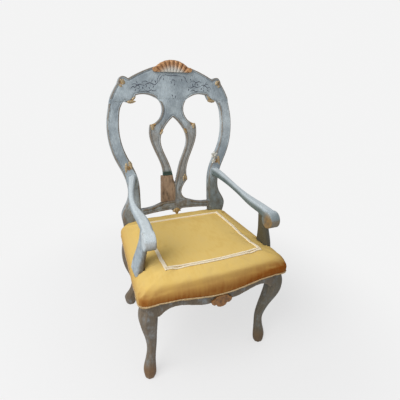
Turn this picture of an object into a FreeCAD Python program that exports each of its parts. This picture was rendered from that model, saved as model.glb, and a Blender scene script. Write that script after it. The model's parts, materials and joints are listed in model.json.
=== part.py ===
import FreeCAD, Part
import math
import os
import Sketcher

# Painted open armchair, millimetres: +Z up, the front looks along -Y, +X is the viewer's right.
# The origin lies on the floor under the middle of the chair.

V = FreeCAD.Vector

# Driving dimensions, single values
SIZES = {
    # the raked plane of the back
    "rake": 8.5,
    "hinge_height": 500,
    "back_front": 188.5,
    # joinery, and how far a straight run may leave the curve that it stands for
    "fit_gap": 0.2,
    "tenon_long": 20,
    "tenon_thick": 10,
    "tenon_shoulder": 5,
    "chord_sag": 0.15,
    "overcut": 1,
    # back uprights
    "stile_depth_hip": 36,
    "stile_depth_top": 28,
    "stile_round": 5,
    "stile_hollow": 2.5,
    "hollow_fade": 3,
    "leg_round": 11,
    # crest rail, heights measured up the raked plane from the hinge line
    "crest_thick": 28,
    "crest_crown": 612,
    "crest_tenon_wide": 23,
    "crest_slope_out": 137,
    "crest_slope_rise": 578,
    "crest_dip_out": 182,
    "crest_dip_rise": 555,
    "ear_top_out": 206,
    "ear_top_rise": 563,
    "ear_tip_out": 225,
    "ear_tip_rise": 537,
    "ear_swell": 3,
    "spandrel_out": 157,
    "spandrel_rise": 491,
    "lobe_sag": 4,
    "arch_out": 108,
    "arch_rise": 495,
    "neck_half": 67,
    "neck_rise": 479,
    # carved shell on the crest
    "shell_radius": 104,
    "shell_tall": 48,
    "shell_proud": 17,
    "shell_ribs": 9,
    "shell_angle": 92,
    "rib_half": 10.5,
    "rib_ridge": 3.5,
    "rib_depth": 8.5,
    "scroll_radius": 9,
    "scroll_thick": 12,
    # pierced splat
    "splat_thick": 18,
    "splat_back_set": 5,
    "splat_waist_half": 46,
    "splat_waist_rise": 440,
    "flare_half": 60,
    "flare_rise": 397,
    "knob_half": 101,
    "knob_rise": 374,
    "belly_half": 105,
    "belly_rise": 322,
    "strand_half": 58,
    "strand_rise": 190,
    "leaf_half": 59,
    "leaf_rise": 126,
    "tuck_half": 41,
    "tuck_rise": 104,
    "ankle_half": 29,
    "ankle_rise": 78,
    "splat_foot_half": 60,
    "fork_top": 404,
    "fork_shoulder_half": 38.5,
    "fork_shoulder_rise": 364,
    "fork_half": 59,
    "fork_half_rise": 318,
    "fork_low_half": 26,
    "fork_low_rise": 205,
    "fork_tip_half": 10,
    "fork_tip_rise": 148,
    "fork_bottom": 108,
    "splice_rise": 152,
    "splice_half": 64,
    "splice_foot": 69,
    "splice_inner": 4,
    "splice_top_inner": 11.5,
    # lower rail of the back
    "low_rail_thick": 26,
    "low_rail_hump": 30,
    "low_rail_top": 10,
    "low_rail_hump_half": 62,
    "low_rail_bottom": -20,
    "low_rail_arch": -9,
    "low_rail_sag": 3,
    "pendant_drop": -29,
    "pendant_half": 26,
    "pendant_cheek_half": 16,
    "pendant_cheek": -18,
    # arm nose and joints
    "arm_round": 7,
    "nose_radius": 32,
    "nose_wide": 39,
    "nose_drop": 12,
    "support_round": 9,
    "support_sink": 13,
    # seat frame
    "rail_top": 440,
    "post_top": 428,
    "apron_front": -294.5,
    "apron_bow": 14,
    "front_rail_inner": -256.5,
    "apron_knee": 338,
    "apron_rise": 374,
    "apron_rise_out": 165,
    "apron_lobe": 353,
    "apron_lobe_out": 62,
    "side_rail_thick": 28,
    "side_rail_front_out": 277.5,
    "side_rail_back_out": 243.5,
    "side_rail_low": 352,
    "side_rail_arch": 380,
    "rear_rail_front": 191.5,
    "rear_rail_thick": 22,
    "rear_rail_low": 376,
    "rail_tenon_low": 388,
    "rail_tenon_high": 420,
    "block_low": 394,
    "block_high": 432,
    "block_reach": 72,
    "well_room": 5,
    # applied carving on the apron
    "apron_leaf_half": 40,
    "apron_leaf_top": 384,
    "apron_leaf_tip": 333,
    "apron_leaf_thick": 8,
    # seat upholstery
    "web_wide": 50,
    "web_thick": 1.5,
    "web_spacing": 90,
    "web_long_spacing": 81,
    "web_lap": 16,
    "web_side_lap": 5,
    "web_room": 25,
    "hessian_thick": 1,
    "hessian_front_half": 236,
    "hessian_back_half": 208,
    "hessian_lap": 20,
    "hessian_clear": 2,
    "gimp_centre": 386,
    "gimp_rise": 404,
    "gimp_peak_out": 180,
    "gimp_corner": 394,
    "gimp_corner_out": 268,
    "gimp_tall": 9,
    "gimp_thick": 3,
    "braid_wide": 11,
    "braid_thick": 3.5,
    "notch_gap": 1.5,
}

# Back upright above the seat: rise up the raked plane, centre out from the middle, width
STILE = {
    "hip": (0, 206, 82),
    "lap": (54, 192, 56),
    "waist": (112, 188.5, 49),
    "root": (167, 199.5, 53),
    "swell": (222, 223, 55),
    "flank": (280, 245, 51),
    "bulge": (345, 255, 48),
    "neck": (412, 251, 47),
    "top": (469, 233.5, 57),
}

# Rear leg under it: height, centre out, front face, width, depth
REAR_LEG = {
    "sole": (0, 229, 179.5, 38, 40),
    "toe": (35, 229, 175.5, 52, 50),
    "instep": (76, 216, 173.5, 42, 38),
    "ankle": (130, 205, 176.5, 34, 34),
    "calf": (215, 225, 181.5, 45, 42),
    "knee": (305, 231, 183.5, 51, 46),
    "rail": (372, 212, 186.5, 68, 41),
    "seat": (440, 205.5, 185.5, 75, 40),
}

# Front cabriole leg: height, centre out, centre front to back, size across, cut of its corners
FRONT_LEG = {
    "sole": (0, 246, -226.5, 36, 10.5),
    "toe": (35, 246, -224.5, 46, 13.5),
    "instep": (72, 242.5, -219.5, 39, 11.5),
    "ankle": (112, 237.5, -216.5, 33, 9.5),
    "calf": (175, 238, -221.5, 38, 11),
    "shin": (225, 244, -231.5, 45, 12),
    "knee": (275, 251.5, -243.5, 54, 12),
    "bracket": (325, 256, -251.5, 61, 14),
    "post": (372, 252.5, -250.5, 58, 17),
}

# Arm: place front to back, centre out, height of the centre, width, height of the section
ARM = {
    "neck": (158.5, 209, 640, 27, 33),
    "bend": (103.5, 223, 626, 23, 30),
    "mid": (13.5, 233, 611.5, 25, 29),
    "swell": (-76.5, 229.5, 612, 34, 32),
    "wrist": (-156.5, 231, 613, 37, 35),
    "nose": (-201.5, 236, 606, 39, 40),
}
ARM_ROOT = {"rise": 150, "out": 195, "wide": 32, "tall": 38}

# Arm support, on the side rail: height, centre out, centre front to back, width, depth
SUPPORT_BASE = {"out": 262, "along": -143.5, "wide": 34, "deep": 78}
SUPPORT = {
    "lower": (488, 256, -146.5, 32, 64),
    "upper": (545, 243, -150.5, 30, 47),
}
SUPPORT_TOP = {"out": 234, "along": -152.5, "wide": 31, "deep": 42}

# Seat sections: height at the middle, front, its bow, half width in front and behind, back, corner cut
SEAT = {
    "hem": (384, -301, 16, 289.5, 254, 219.5, 22),
    "bulge": (422, -307.5, 17, 294, 260, 221.5, 30),
    "shoulder": (453, -302.5, 20, 279, 247, 215.5, 44),
    "roll": (468, -291.5, 25, 236, 215, 197.5, 40),
    "braid": (477, -243, 13, 187, 174, 122, 9),
    "crown": (483, -186.5, 20, 110, 108, 63.5, 30),
}

# Tilt of those sections to the back in degrees, and the shares of a thickness that go outwards and upwards
SEAT_LEAN = {
    "hem": (0, 1, 0),
    "bulge": (0.5, 1, 0.1),
    "shoulder": (1.2, 0.8, 0.6),
    "roll": (2, 0.45, 0.9),
    "braid": (2.3, 0.15, 1),
    "crown": (2.3, 0, 1),
}
SEAT_COLUMNS = ("height", "front", "bow", "half_front", "half_back", "back", "corner")
LEAN_COLUMNS = ("tilt", "share_out", "share_up")

# Straight runs that stand for the bowed front of the seat
FRONT_CHORDS = 6
# Levels of the seat from one driving section to the next
SEAT_STEPS = 2

# Half outline of the carved leaf, as shares of its half width and of its height
LEAF = ((0.2, 1), (0.55, 0.92), (0.72, 0.74), (1, 0.62), (0.98, 0.4), (0.74, 0.24), (0.5, 0.26), (0.42, 0.1),
        (0.16, 0))

doc = FreeCAD.newDocument("painted_armchair")
sheet = doc.addObject("Spreadsheet::Sheet", "Sizes")
nodes = {}


def fill_sheet():
    """Write every driving dimension into its own named cell."""
    rows = dict(SIZES)
    tables = (
        ("stile", STILE, ("rise", "out", "wide")),
        ("rear_leg", REAR_LEG, ("height", "out", "front", "wide", "deep")),
        ("front_leg", FRONT_LEG, ("height", "out", "along", "across", "chamfer")),
        ("arm", ARM, ("along", "out", "height", "wide", "tall")),
        ("support", SUPPORT, ("height", "out", "along", "wide", "deep")),
        ("seat", SEAT, SEAT_COLUMNS),
        ("seat", SEAT_LEAN, LEAN_COLUMNS),
    )
    for part_name, table, columns in tables:
        for station, values in table.items():
            for column, value in zip(columns, values):
                rows[f"{part_name}_{station}_{column}"] = value
    ends = {"arm_root": ARM_ROOT, "support_base": SUPPORT_BASE, "support_top": SUPPORT_TOP}
    for part_name, values in ends.items():
        for column, value in values.items():
            rows[f"{part_name}_{column}"] = value
    for row, (alias, value) in enumerate(rows.items(), 1):
        sheet.set(f"A{row}", alias)
        sheet.set(f"B{row}", str(value))
        sheet.setAlias(f"B{row}", alias)
    doc.recompute()


def size(alias):
    """Value of a named cell."""
    return float(sheet.get(alias))


def cell(alias):
    """Expression that names a cell."""
    return f"Sizes.{alias}"


def raked(out, depth, rise):
    """Expressions for a point given in the raked plane of the back: out, depth behind its front, rise."""
    along = f"Sizes.back_front + ({rise}) * sin(Sizes.rake) + ({depth}) * cos(Sizes.rake)"
    height = f"Sizes.hinge_height + ({rise}) * cos(Sizes.rake) - ({depth}) * sin(Sizes.rake)"
    return out, along, height


def new_body(name):
    """Empty body under its own name."""
    body = doc.addObject("PartDesign::Body", name)
    body.Label = name
    return body


def back_body(name):
    """Body whose frame is the raked plane of the back, with its origin on the hinge line."""
    body = new_body(name)
    body.Placement = FreeCAD.Placement(V(), FreeCAD.Rotation(V(1, 0, 0), -size("rake")))
    body.setExpression("Placement.Base.y", cell("back_front"))
    body.setExpression("Placement.Base.z", cell("hinge_height"))
    body.setExpression("Placement.Rotation.Angle", "-Sizes.rake")
    return body


def keep(obj, name):
    """Register a finished piece under the name of its node."""
    obj.Label = name
    nodes[name] = obj
    return obj


def attach(feature, body, role, base=("0", "0", "0"), turn=None):
    """Attach a sketch or block to a plane of its body, at an offset and a turn bound to the sheet."""
    feature.AttachmentSupport = [(next(f for f in body.Origin.OriginFeatures if f.Role == role), "")]
    feature.MapMode = "FlatFace"
    if turn:
        axis, angle = turn
        feature.AttachmentOffset = FreeCAD.Placement(V(), FreeCAD.Rotation(axis, value_of(angle)))
        feature.setExpression("AttachmentOffset.Rotation.Angle", angle)
    for axis, value in zip("xyz", base):
        feature.setExpression(f"AttachmentOffset.Base.{axis}", value)


def value_of(expression):
    """Number that an expression of the sheet gives now."""
    return float(sheet.evalExpression(expression.replace("Sizes.", "")))


def block(body, kind, name, corner, lengths, turn=None):
    """Additive or Subtractive box of a body, used for tenons and mortises."""
    box = body.newObject(f"PartDesign::{kind}Box", name)
    attach(box, body, "XY_Plane", corner, turn)
    for side, length in zip(("Length", "Width", "Height"), lengths):
        box.setExpression(side, length)
    return box


def section(body, name, role, base, wide, deep, corner, turn=None):
    """Chamfered section sketch, centred on its own origin."""
    sketch = body.newObject("Sketcher::SketchObject", name)
    attach(sketch, body, role, base, turn)
    half, side, bend = value_of(wide) / 2, value_of(deep) / 2, value_of(corner)
    inner, level = half - bend, side - bend
    points = [V(-inner, -side), V(inner, -side), V(half, -level), V(half, level),
              V(inner, side), V(-inner, side), V(-half, level), V(-half, -level)]
    for index, point in enumerate(points):
        sketch.addGeometry(Part.LineSegment(point, points[(index + 1) % 8]))
    rules = [Sketcher.Constraint("Coincident", edge, 2, (edge + 1) % 8, 1) for edge in range(8)]
    rules += [Sketcher.Constraint("Symmetric", edge, 1, edge + 4, 1, -1, 1) for edge in range(4)]
    rules += [Sketcher.Constraint("Horizontal", 0), Sketcher.Constraint("Vertical", 2)]
    sketch.addConstraint(rules)
    bind_rules(sketch, [("wide", Sketcher.Constraint("DistanceX", 6, 1, 2, 1, 2 * half), wide),
                        ("deep", Sketcher.Constraint("DistanceY", 0, 1, 4, 1, 2 * side), deep),
                        ("low_across", Sketcher.Constraint("DistanceX", 1, 1, 1, 2, bend), corner),
                        ("low_along", Sketcher.Constraint("DistanceY", 1, 1, 1, 2, bend), corner),
                        ("high_across", Sketcher.Constraint("DistanceX", 3, 2, 3, 1, bend), corner),
                        ("high_along", Sketcher.Constraint("DistanceY", 3, 1, 3, 2, bend), corner)])
    return sketch


def bind_rules(sketch, named):
    """Add dimensions to a sketch, each under a name and bound to the sheet."""
    for label, rule, expression in named:
        index = sketch.addConstraint(rule)
        sketch.renameConstraint(index, label)
        sketch.setExpression(f"Constraints.{label}", expression)


def circle(body, name, role, base, radius):
    """Circle sketch centred on its own origin."""
    sketch = body.newObject("Sketcher::SketchObject", name)
    attach(sketch, body, role, base)
    sketch.addGeometry(Part.Circle(V(), V(0, 0, 1), value_of(radius)))
    sketch.addConstraint(Sketcher.Constraint("Coincident", 0, 3, -1, 1))
    bind_rules(sketch, [("radius", Sketcher.Constraint("Radius", 0, value_of(radius)), radius)])
    return sketch


def loft(body, name, sections, kind="Additive"):
    """Smooth loft through the sections of one body, Additive or Subtractive."""
    feature = body.newObject(f"PartDesign::{kind}Loft", name)
    feature.Profile = sections[0]
    feature.Sections = sections[1:]
    feature.Refine = False
    return feature


def halved(spline, low, high):
    """Ends of the straight runs that keep within the sag between two places on a spline."""
    start, along = spline.value(low), spline.value(high) - spline.value(low)
    probes = [spline.value(low + (high - low) * share) for share in (0.25, 0.5, 0.75)]
    if max(probe.distanceToLine(start, along) for probe in probes) < size("chord_sag"):
        return [spline.value(high)]
    middle = (low + high) / 2
    return halved(spline, low, middle) + halved(spline, middle, high)


def curve(points):
    """Short straight runs along the smooth curve through a few points."""
    spline = Part.BSplineCurve()
    spline.interpolate(points)
    knots, marks = spline.getKnots(), [points[0]]
    for low, high in zip(knots, knots[1:]):
        marks += halved(spline, low, high)
    return [Part.LineSegment(start, stop) for start, stop in zip(marks, marks[1:])]


def outline(body, name, role, edges, base=("0", "0", "0"), turn=None):
    """Sketch of a closed outline whose edges come from the sheet's values."""
    sketch = body.newObject("Sketcher::SketchObject", name)
    attach(sketch, body, role, base, turn)
    for edge in edges:
        sketch.addGeometry(edge)
    return sketch


def pad(body, name, sketch, length, reverse=False):
    """Pad of a sketch, its length bound to the sheet."""
    feature = body.newObject("PartDesign::Pad", name)
    feature.Profile = sketch
    feature.Reversed = reverse
    feature.setExpression("Length", length)
    return feature


def cut_through(body, name, sketch):
    """Pocket of a sketch right through its body, both ways."""
    feature = body.newObject("PartDesign::Pocket", name)
    feature.Profile = sketch
    feature.Type = "ThroughAll"
    feature.Midplane = True
    return feature


def mirrored(source, name):
    """The same piece on the other side of the chair."""
    copy = doc.addObject("Part::Mirroring", name)
    copy.Source = source
    copy.Normal = V(1, 0, 0)
    copy.Base = V()
    return keep(copy, name)


def cut(name, base, tools):
    """Base less its tools, taken off one after another."""
    for index, tool in enumerate(tools):
        feature = doc.addObject("Part::Cut", f"{name}_cut_{index}")
        feature.Base = base
        feature.Tool = tool
        base = feature
    return base


def common(name, base, tool):
    """What two solids share."""
    feature = doc.addObject("Part::Common", name)
    feature.Base = base
    feature.Tool = tool
    return feature


def plain_box(name, corner, lengths):
    """Box placed by expressions of the sheet."""
    box = doc.addObject("Part::Box", name)
    for side, length in zip(("Length", "Width", "Height"), lengths):
        box.setExpression(side, length)
    for axis, value in zip("xyz", corner):
        box.setExpression(f"Placement.Base.{axis}", value)
    return box


def shaped(name, shape):
    """Piece whose free form is worked out here from the sheet's values."""
    feature = doc.addObject("Part::Feature", name)
    feature.Shape = shape
    return feature


def grouped(name, members):
    """Separate solids that share one node."""
    group = doc.addObject("Part::Compound", name)
    group.Links = members
    return keep(group, name)


def both_sides(points):
    """Points of the right half, taken from the left end to the right end of the whole outline."""
    return [V(-x, y) for x, y in reversed(points) if x > 0] + [V(x, y) for x, y in points]


def ring(corners):
    """Straight edges of a closed polygon."""
    return [Part.LineSegment(corners[index - 1], corners[index]) for index in range(len(corners))]


def chain(*runs):
    """Edges of a half outline from the middle outwards, joined to their mirror images."""
    edges = []
    for run in runs:
        for side in (1, -1):
            points = [V(side * x, y) for x, y in run]
            edges += [Part.LineSegment(*points)] if len(points) == 2 else curve(points)
    return edges


# Turn of what lies in the raked plane of the back
RAKED = (V(1, 0, 0), "-Sizes.rake")

# Places that two or more pieces share, as expressions of the sheet
STILE_INNER = "(Sizes.stile_hip_out - Sizes.stile_hip_wide / 2)"
LOW_RAIL_TENON = "(Sizes.low_rail_thick - Sizes.tenon_thick) / 2"
SIDE_TENON_FRONT = "(Sizes.side_rail_front_out - Sizes.side_rail_thick / 2 - Sizes.tenon_thick / 2)"
SIDE_TENON_BACK = "(Sizes.side_rail_back_out - Sizes.side_rail_thick / 2 - Sizes.tenon_thick / 2)"
REAR_RAIL_HALF = "(Sizes.rear_leg_seat_out - Sizes.rear_leg_seat_wide / 2)"
REAR_TENON = "(Sizes.rear_rail_front + (Sizes.rear_rail_thick - Sizes.tenon_thick) / 2)"
POST_INNER = "(Sizes.front_leg_post_out - Sizes.front_leg_post_across / 2)"
POST_BACK = "(Sizes.front_leg_post_along + Sizes.front_leg_post_across / 2)"
FRONT_TENON = "(Sizes.front_rail_inner - Sizes.tenon_thick - Sizes.tenon_shoulder)"
SPLAT_TENON = "(Sizes.splat_back_set + (Sizes.splat_thick - Sizes.tenon_thick) / 2)"
SUPPORT_HEAD = "(Sizes.arm_wrist_height - Sizes.support_sink)"
SHELL_CENTRE = "(Sizes.crest_crown + Sizes.shell_proud - Sizes.shell_radius)"
SHELL_BASE = "(Sizes.crest_crown + Sizes.shell_proud - Sizes.shell_tall)"
LOW_RAIL_TENON_LOW = "(Sizes.low_rail_bottom + Sizes.tenon_shoulder)"
LOW_RAIL_TENON_TALL = "(Sizes.low_rail_top - Sizes.low_rail_bottom - 2 * Sizes.tenon_shoulder)"


def stile_depth(rise):
    """Depth of the back upright at a rise: it thins evenly from the hip to its top."""
    return (f"(Sizes.stile_depth_hip + (Sizes.stile_depth_top - Sizes.stile_depth_hip)"
            f" * ({rise}) / Sizes.stile_top_rise)")


def gouge(body, name, base, half):
    """Section of the hollow that leaves a bead along each edge of an upright."""
    depth = size("stile_hollow")
    corners = [V(-half - depth, -depth), V(half + depth, -depth),
               V(half - depth, depth), V(depth - half, depth)]
    return outline(body, name, "XY_Plane", ring(corners), base, RAKED)


def build_stiles():
    """Back uprights, each in one piece with its rear leg."""
    body = new_body("stile_right")
    sections = []
    for station in REAR_LEG:
        at = f"Sizes.rear_leg_{station}"
        base = (f"{at}_out", f"{at}_front + {at}_deep / 2", f"{at}_height")
        sections.append(section(body, f"leg_{station}", "XY_Plane", base,
                                f"{at}_wide", f"{at}_deep", cell("leg_round")))
    for station in STILE:
        at = f"Sizes.stile_{station}"
        deep = stile_depth(f"{at}_rise")
        base = raked(f"{at}_out", f"{deep} / 2", f"{at}_rise")
        sections.append(section(body, f"stile_{station}", "XY_Plane", base, f"{at}_wide", deep,
                                cell("stile_round"), RAKED))
    loft(body, "upright", sections)
    hollow = []
    for station in list(STILE)[list(STILE).index("root"):]:
        at = f"Sizes.stile_{station}"
        above = cell("hollow_fade") if station == "root" else "0"
        rise = f"{at}_rise + Sizes.overcut" if station == "top" else f"{at}_rise"
        hollow.append(gouge(body, f"hollow_{station}", raked(f"{at}_out", f"-{above}", rise),
                            size(f"stile_{station}_wide") / 2 - 1.5 * size("stile_round")))
    loft(body, "hollow", hollow, "Subtractive")
    grow = "2 * Sizes.fit_gap"
    top_corner = raked("Sizes.stile_top_out - Sizes.crest_tenon_wide / 2",
                       "(Sizes.stile_depth_top - Sizes.tenon_thick) / 2", "Sizes.stile_top_rise")
    block(body, "Additive", "crest_tenon", top_corner,
          (cell("crest_tenon_wide"), cell("tenon_thick"), cell("tenon_long")), RAKED)
    rail_corner = raked(f"{STILE_INNER} - Sizes.tenon_long",
                        f"{LOW_RAIL_TENON} - Sizes.fit_gap", f"{LOW_RAIL_TENON_LOW} - Sizes.fit_gap")
    block(body, "Subtractive", "low_rail_mortise", rail_corner,
          ("2 * Sizes.tenon_long + Sizes.fit_gap", f"Sizes.tenon_thick + {grow}",
           f"{LOW_RAIL_TENON_TALL} + {grow}"), RAKED)
    arm_corner = raked("Sizes.arm_root_out - Sizes.tenon_thick / 2 - Sizes.fit_gap", "-Sizes.tenon_long",
                       "Sizes.arm_root_rise - Sizes.tenon_long / 2 - Sizes.fit_gap")
    block(body, "Subtractive", "arm_mortise", arm_corner,
          (f"Sizes.tenon_thick + {grow}", "2 * Sizes.tenon_long + Sizes.fit_gap",
           f"Sizes.tenon_long + {grow}"), RAKED)
    high = f"Sizes.rail_tenon_high - Sizes.rail_tenon_low + {grow}"
    low = "Sizes.rail_tenon_low - Sizes.fit_gap"
    block(body, "Subtractive", "side_rail_mortise",
          (f"{SIDE_TENON_BACK} - Sizes.fit_gap", "Sizes.rear_leg_seat_front - Sizes.tenon_long", low),
          (f"Sizes.tenon_thick + {grow}", "2 * Sizes.tenon_long + Sizes.fit_gap + Sizes.overcut", high))
    block(body, "Subtractive", "rear_rail_mortise",
          (f"{REAR_RAIL_HALF} - Sizes.tenon_long", f"{REAR_TENON} - Sizes.fit_gap", low),
          ("2 * Sizes.tenon_long + Sizes.fit_gap + 2 * Sizes.overcut", f"Sizes.tenon_thick + {grow}", high))
    keep(body, "stile_right")
    mirrored(body, "stile_left")


def build_front_legs():
    """Cabriole front legs with the square posts that take the rails."""
    body = new_body("front_leg_right")
    sections = []
    for station in FRONT_LEG:
        at = f"Sizes.front_leg_{station}"
        base = (f"{at}_out", f"{at}_along", f"{at}_height")
        sections.append(section(body, f"leg_{station}", "XY_Plane", base, f"{at}_across", f"{at}_across",
                                f"{at}_chamfer"))
    loft(body, "cabriole", sections)
    post = section(body, "post", "XY_Plane", base, f"{at}_across", f"{at}_across", f"{at}_chamfer")
    pad(body, "square_post", post, "Sizes.post_top - Sizes.front_leg_post_height")
    grow = "2 * Sizes.fit_gap"
    low = "Sizes.rail_tenon_low - Sizes.fit_gap"
    high = f"Sizes.rail_tenon_high - Sizes.rail_tenon_low + {grow}"
    block(body, "Subtractive", "front_rail_mortise",
          (f"{POST_INNER} - Sizes.tenon_long", f"{FRONT_TENON} - Sizes.fit_gap", low),
          ("2 * Sizes.tenon_long + Sizes.fit_gap", f"Sizes.tenon_thick + {grow}", high))
    block(body, "Subtractive", "side_rail_mortise",
          (f"{SIDE_TENON_FRONT} - Sizes.fit_gap", f"{POST_BACK} - Sizes.tenon_long - Sizes.fit_gap", low),
          (f"Sizes.tenon_thick + {grow}", "2 * Sizes.tenon_long + Sizes.fit_gap", high))
    keep(body, "front_leg_right")
    mirrored(body, "front_leg_left")


def build_arms():
    """Curved arms, each rolled over at the front and tenoned into its upright."""
    body = new_body("arm_right")
    root = raked("Sizes.arm_root_out", "-Sizes.fit_gap", "Sizes.arm_root_rise")
    root_base = (root[0], root[2], f"-({root[1]})")
    first = section(body, "arm_root", "XZ_Plane", root_base, cell("arm_root_wide"), cell("arm_root_tall"),
                    cell("arm_round"), RAKED)
    sections = [first]
    for station in ARM:
        at = f"Sizes.arm_{station}"
        base = (f"{at}_out", f"{at}_height", f"-{at}_along")
        sections.append(section(body, f"arm_{station}", "XZ_Plane", base, f"{at}_wide", f"{at}_tall",
                                cell("arm_round")))
    loft(body, "arm", sections)
    roll_base = ("Sizes.arm_nose_along", "Sizes.arm_nose_height - Sizes.nose_drop",
                 "Sizes.arm_nose_out - Sizes.nose_wide / 2")
    roll = circle(body, "nose_round", "YZ_Plane", roll_base, cell("nose_radius"))
    pad(body, "nose", roll, cell("nose_wide"))
    tenon_corner = raked("Sizes.arm_root_out - Sizes.tenon_thick / 2", "-Sizes.fit_gap",
                         "Sizes.arm_root_rise - Sizes.tenon_long / 2")
    block(body, "Additive", "stile_tenon", tenon_corner,
          (cell("tenon_thick"), cell("tenon_long"), cell("tenon_long")), RAKED)
    room = "(2 * Sizes.fit_gap)"
    block(body, "Subtractive", "support_housing",
          (f"Sizes.support_top_out - Sizes.support_top_wide / 2 - {room}",
           f"Sizes.support_top_along - Sizes.support_top_deep / 2 - {room}",
           f"{SUPPORT_HEAD} - 2 * Sizes.tenon_long"),
          (f"Sizes.support_top_wide + 2 * {room}", f"Sizes.support_top_deep + 2 * {room}",
           f"2 * Sizes.tenon_long + {room}"))
    block(body, "Subtractive", "support_mortise",
          (f"Sizes.support_top_out - Sizes.tenon_thick / 2 - {room}",
           f"Sizes.support_top_along - Sizes.tenon_thick / 2 - {room}", f"{SUPPORT_HEAD} - Sizes.overcut"),
          (f"Sizes.tenon_thick + 2 * {room}", f"Sizes.tenon_thick + 2 * {room}",
           f"Sizes.tenon_thick + Sizes.overcut + {room}"))
    keep(body, "arm_right")
    mirrored(body, "arm_left")


def build_arm_supports():
    """Swept posts that stand on the side rails and carry the arms."""
    body = new_body("arm_support_right")
    sections = []
    heights = {"base": "Sizes.rail_top + Sizes.fit_gap"}
    heights.update({station: f"Sizes.support_{station}_height" for station in SUPPORT})
    heights["top"] = SUPPORT_HEAD
    for station, height in heights.items():
        at = f"Sizes.support_{station}"
        sections.append(section(body, f"support_{station}", "XY_Plane", (f"{at}_out", f"{at}_along", height),
                                f"{at}_wide", f"{at}_deep", cell("support_round")))
    loft(body, "post", sections)
    half = "Sizes.tenon_thick / 2"
    block(body, "Additive", "arm_tenon",
          (f"Sizes.support_top_out - {half}", f"Sizes.support_top_along - {half}", SUPPORT_HEAD),
          (cell("tenon_thick"), cell("tenon_thick"), cell("tenon_thick")))
    block(body, "Additive", "rail_tenon",
          (f"Sizes.support_base_out - {half}", f"Sizes.support_base_along - {half}",
           "Sizes.rail_top - Sizes.tenon_long"),
          (cell("tenon_thick"), cell("tenon_thick"), "Sizes.tenon_long + 2 * Sizes.fit_gap"))
    keep(body, "arm_support_right")
    mirrored(body, "arm_support_left")


def build_crest():
    """Crest rail: arched over the splat, with an ear at each corner and leaf spandrels below."""
    joint = size("stile_top_rise")
    inner = size("stile_top_out") - size("stile_top_wide") / 2
    outer = size("stile_top_out") + size("stile_top_wide") / 2
    dip = (size("crest_dip_out"), size("crest_dip_rise"))
    ear = (size("ear_tip_out"), size("ear_tip_rise"))
    spandrel = (size("spandrel_out"), size("spandrel_rise"))
    neck = (size("neck_half"), size("neck_rise"))
    sag = size("lobe_sag")
    leaf = ((inner + spandrel[0]) / 2 - sag, joint - sag)
    top = [(0, size("crest_crown")), (size("crest_slope_out"), size("crest_slope_rise")), dip]
    body = back_body("crest_rail")
    edges = curve(both_sides(top))
    edges += chain([dip, (size("ear_top_out"), size("ear_top_rise")), ear],
                   [ear, ((ear[0] + outer) / 2 + size("ear_swell"), (ear[1] + joint) / 2), (outer, joint)],
                   [(outer, joint), (inner, joint)], [(inner, joint), leaf, spandrel],
                   [spandrel, (size("arch_out"), size("arch_rise")), neck])
    edges.append(Part.LineSegment(V(-neck[0], neck[1]), V(*neck)))
    sketch = outline(body, "crest_outline", "XZ_Plane", edges)
    pad(body, "crest", sketch, cell("crest_thick"), True)
    grow = "2 * Sizes.fit_gap"
    deep = "Sizes.tenon_long + Sizes.overcut + Sizes.fit_gap"
    for side, middle in (("left", "-Sizes.stile_top_out"), ("right", "Sizes.stile_top_out")):
        block(body, "Subtractive", f"stile_mortise_{side}",
              (f"{middle} - Sizes.crest_tenon_wide / 2 - Sizes.fit_gap",
               "(Sizes.stile_depth_top - Sizes.tenon_thick) / 2 - Sizes.fit_gap",
               "Sizes.stile_top_rise - Sizes.overcut"),
              (f"Sizes.crest_tenon_wide + {grow}", f"Sizes.tenon_thick + {grow}", deep))
    block(body, "Subtractive", "splat_mortise",
          ("-Sizes.splat_waist_half - Sizes.fit_gap", f"{SPLAT_TENON} - Sizes.fit_gap",
           "Sizes.neck_rise - Sizes.overcut"),
          (f"2 * Sizes.splat_waist_half + {grow}", f"Sizes.tenon_thick + {grow}", deep))
    keep(body, "crest_rail")


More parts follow.
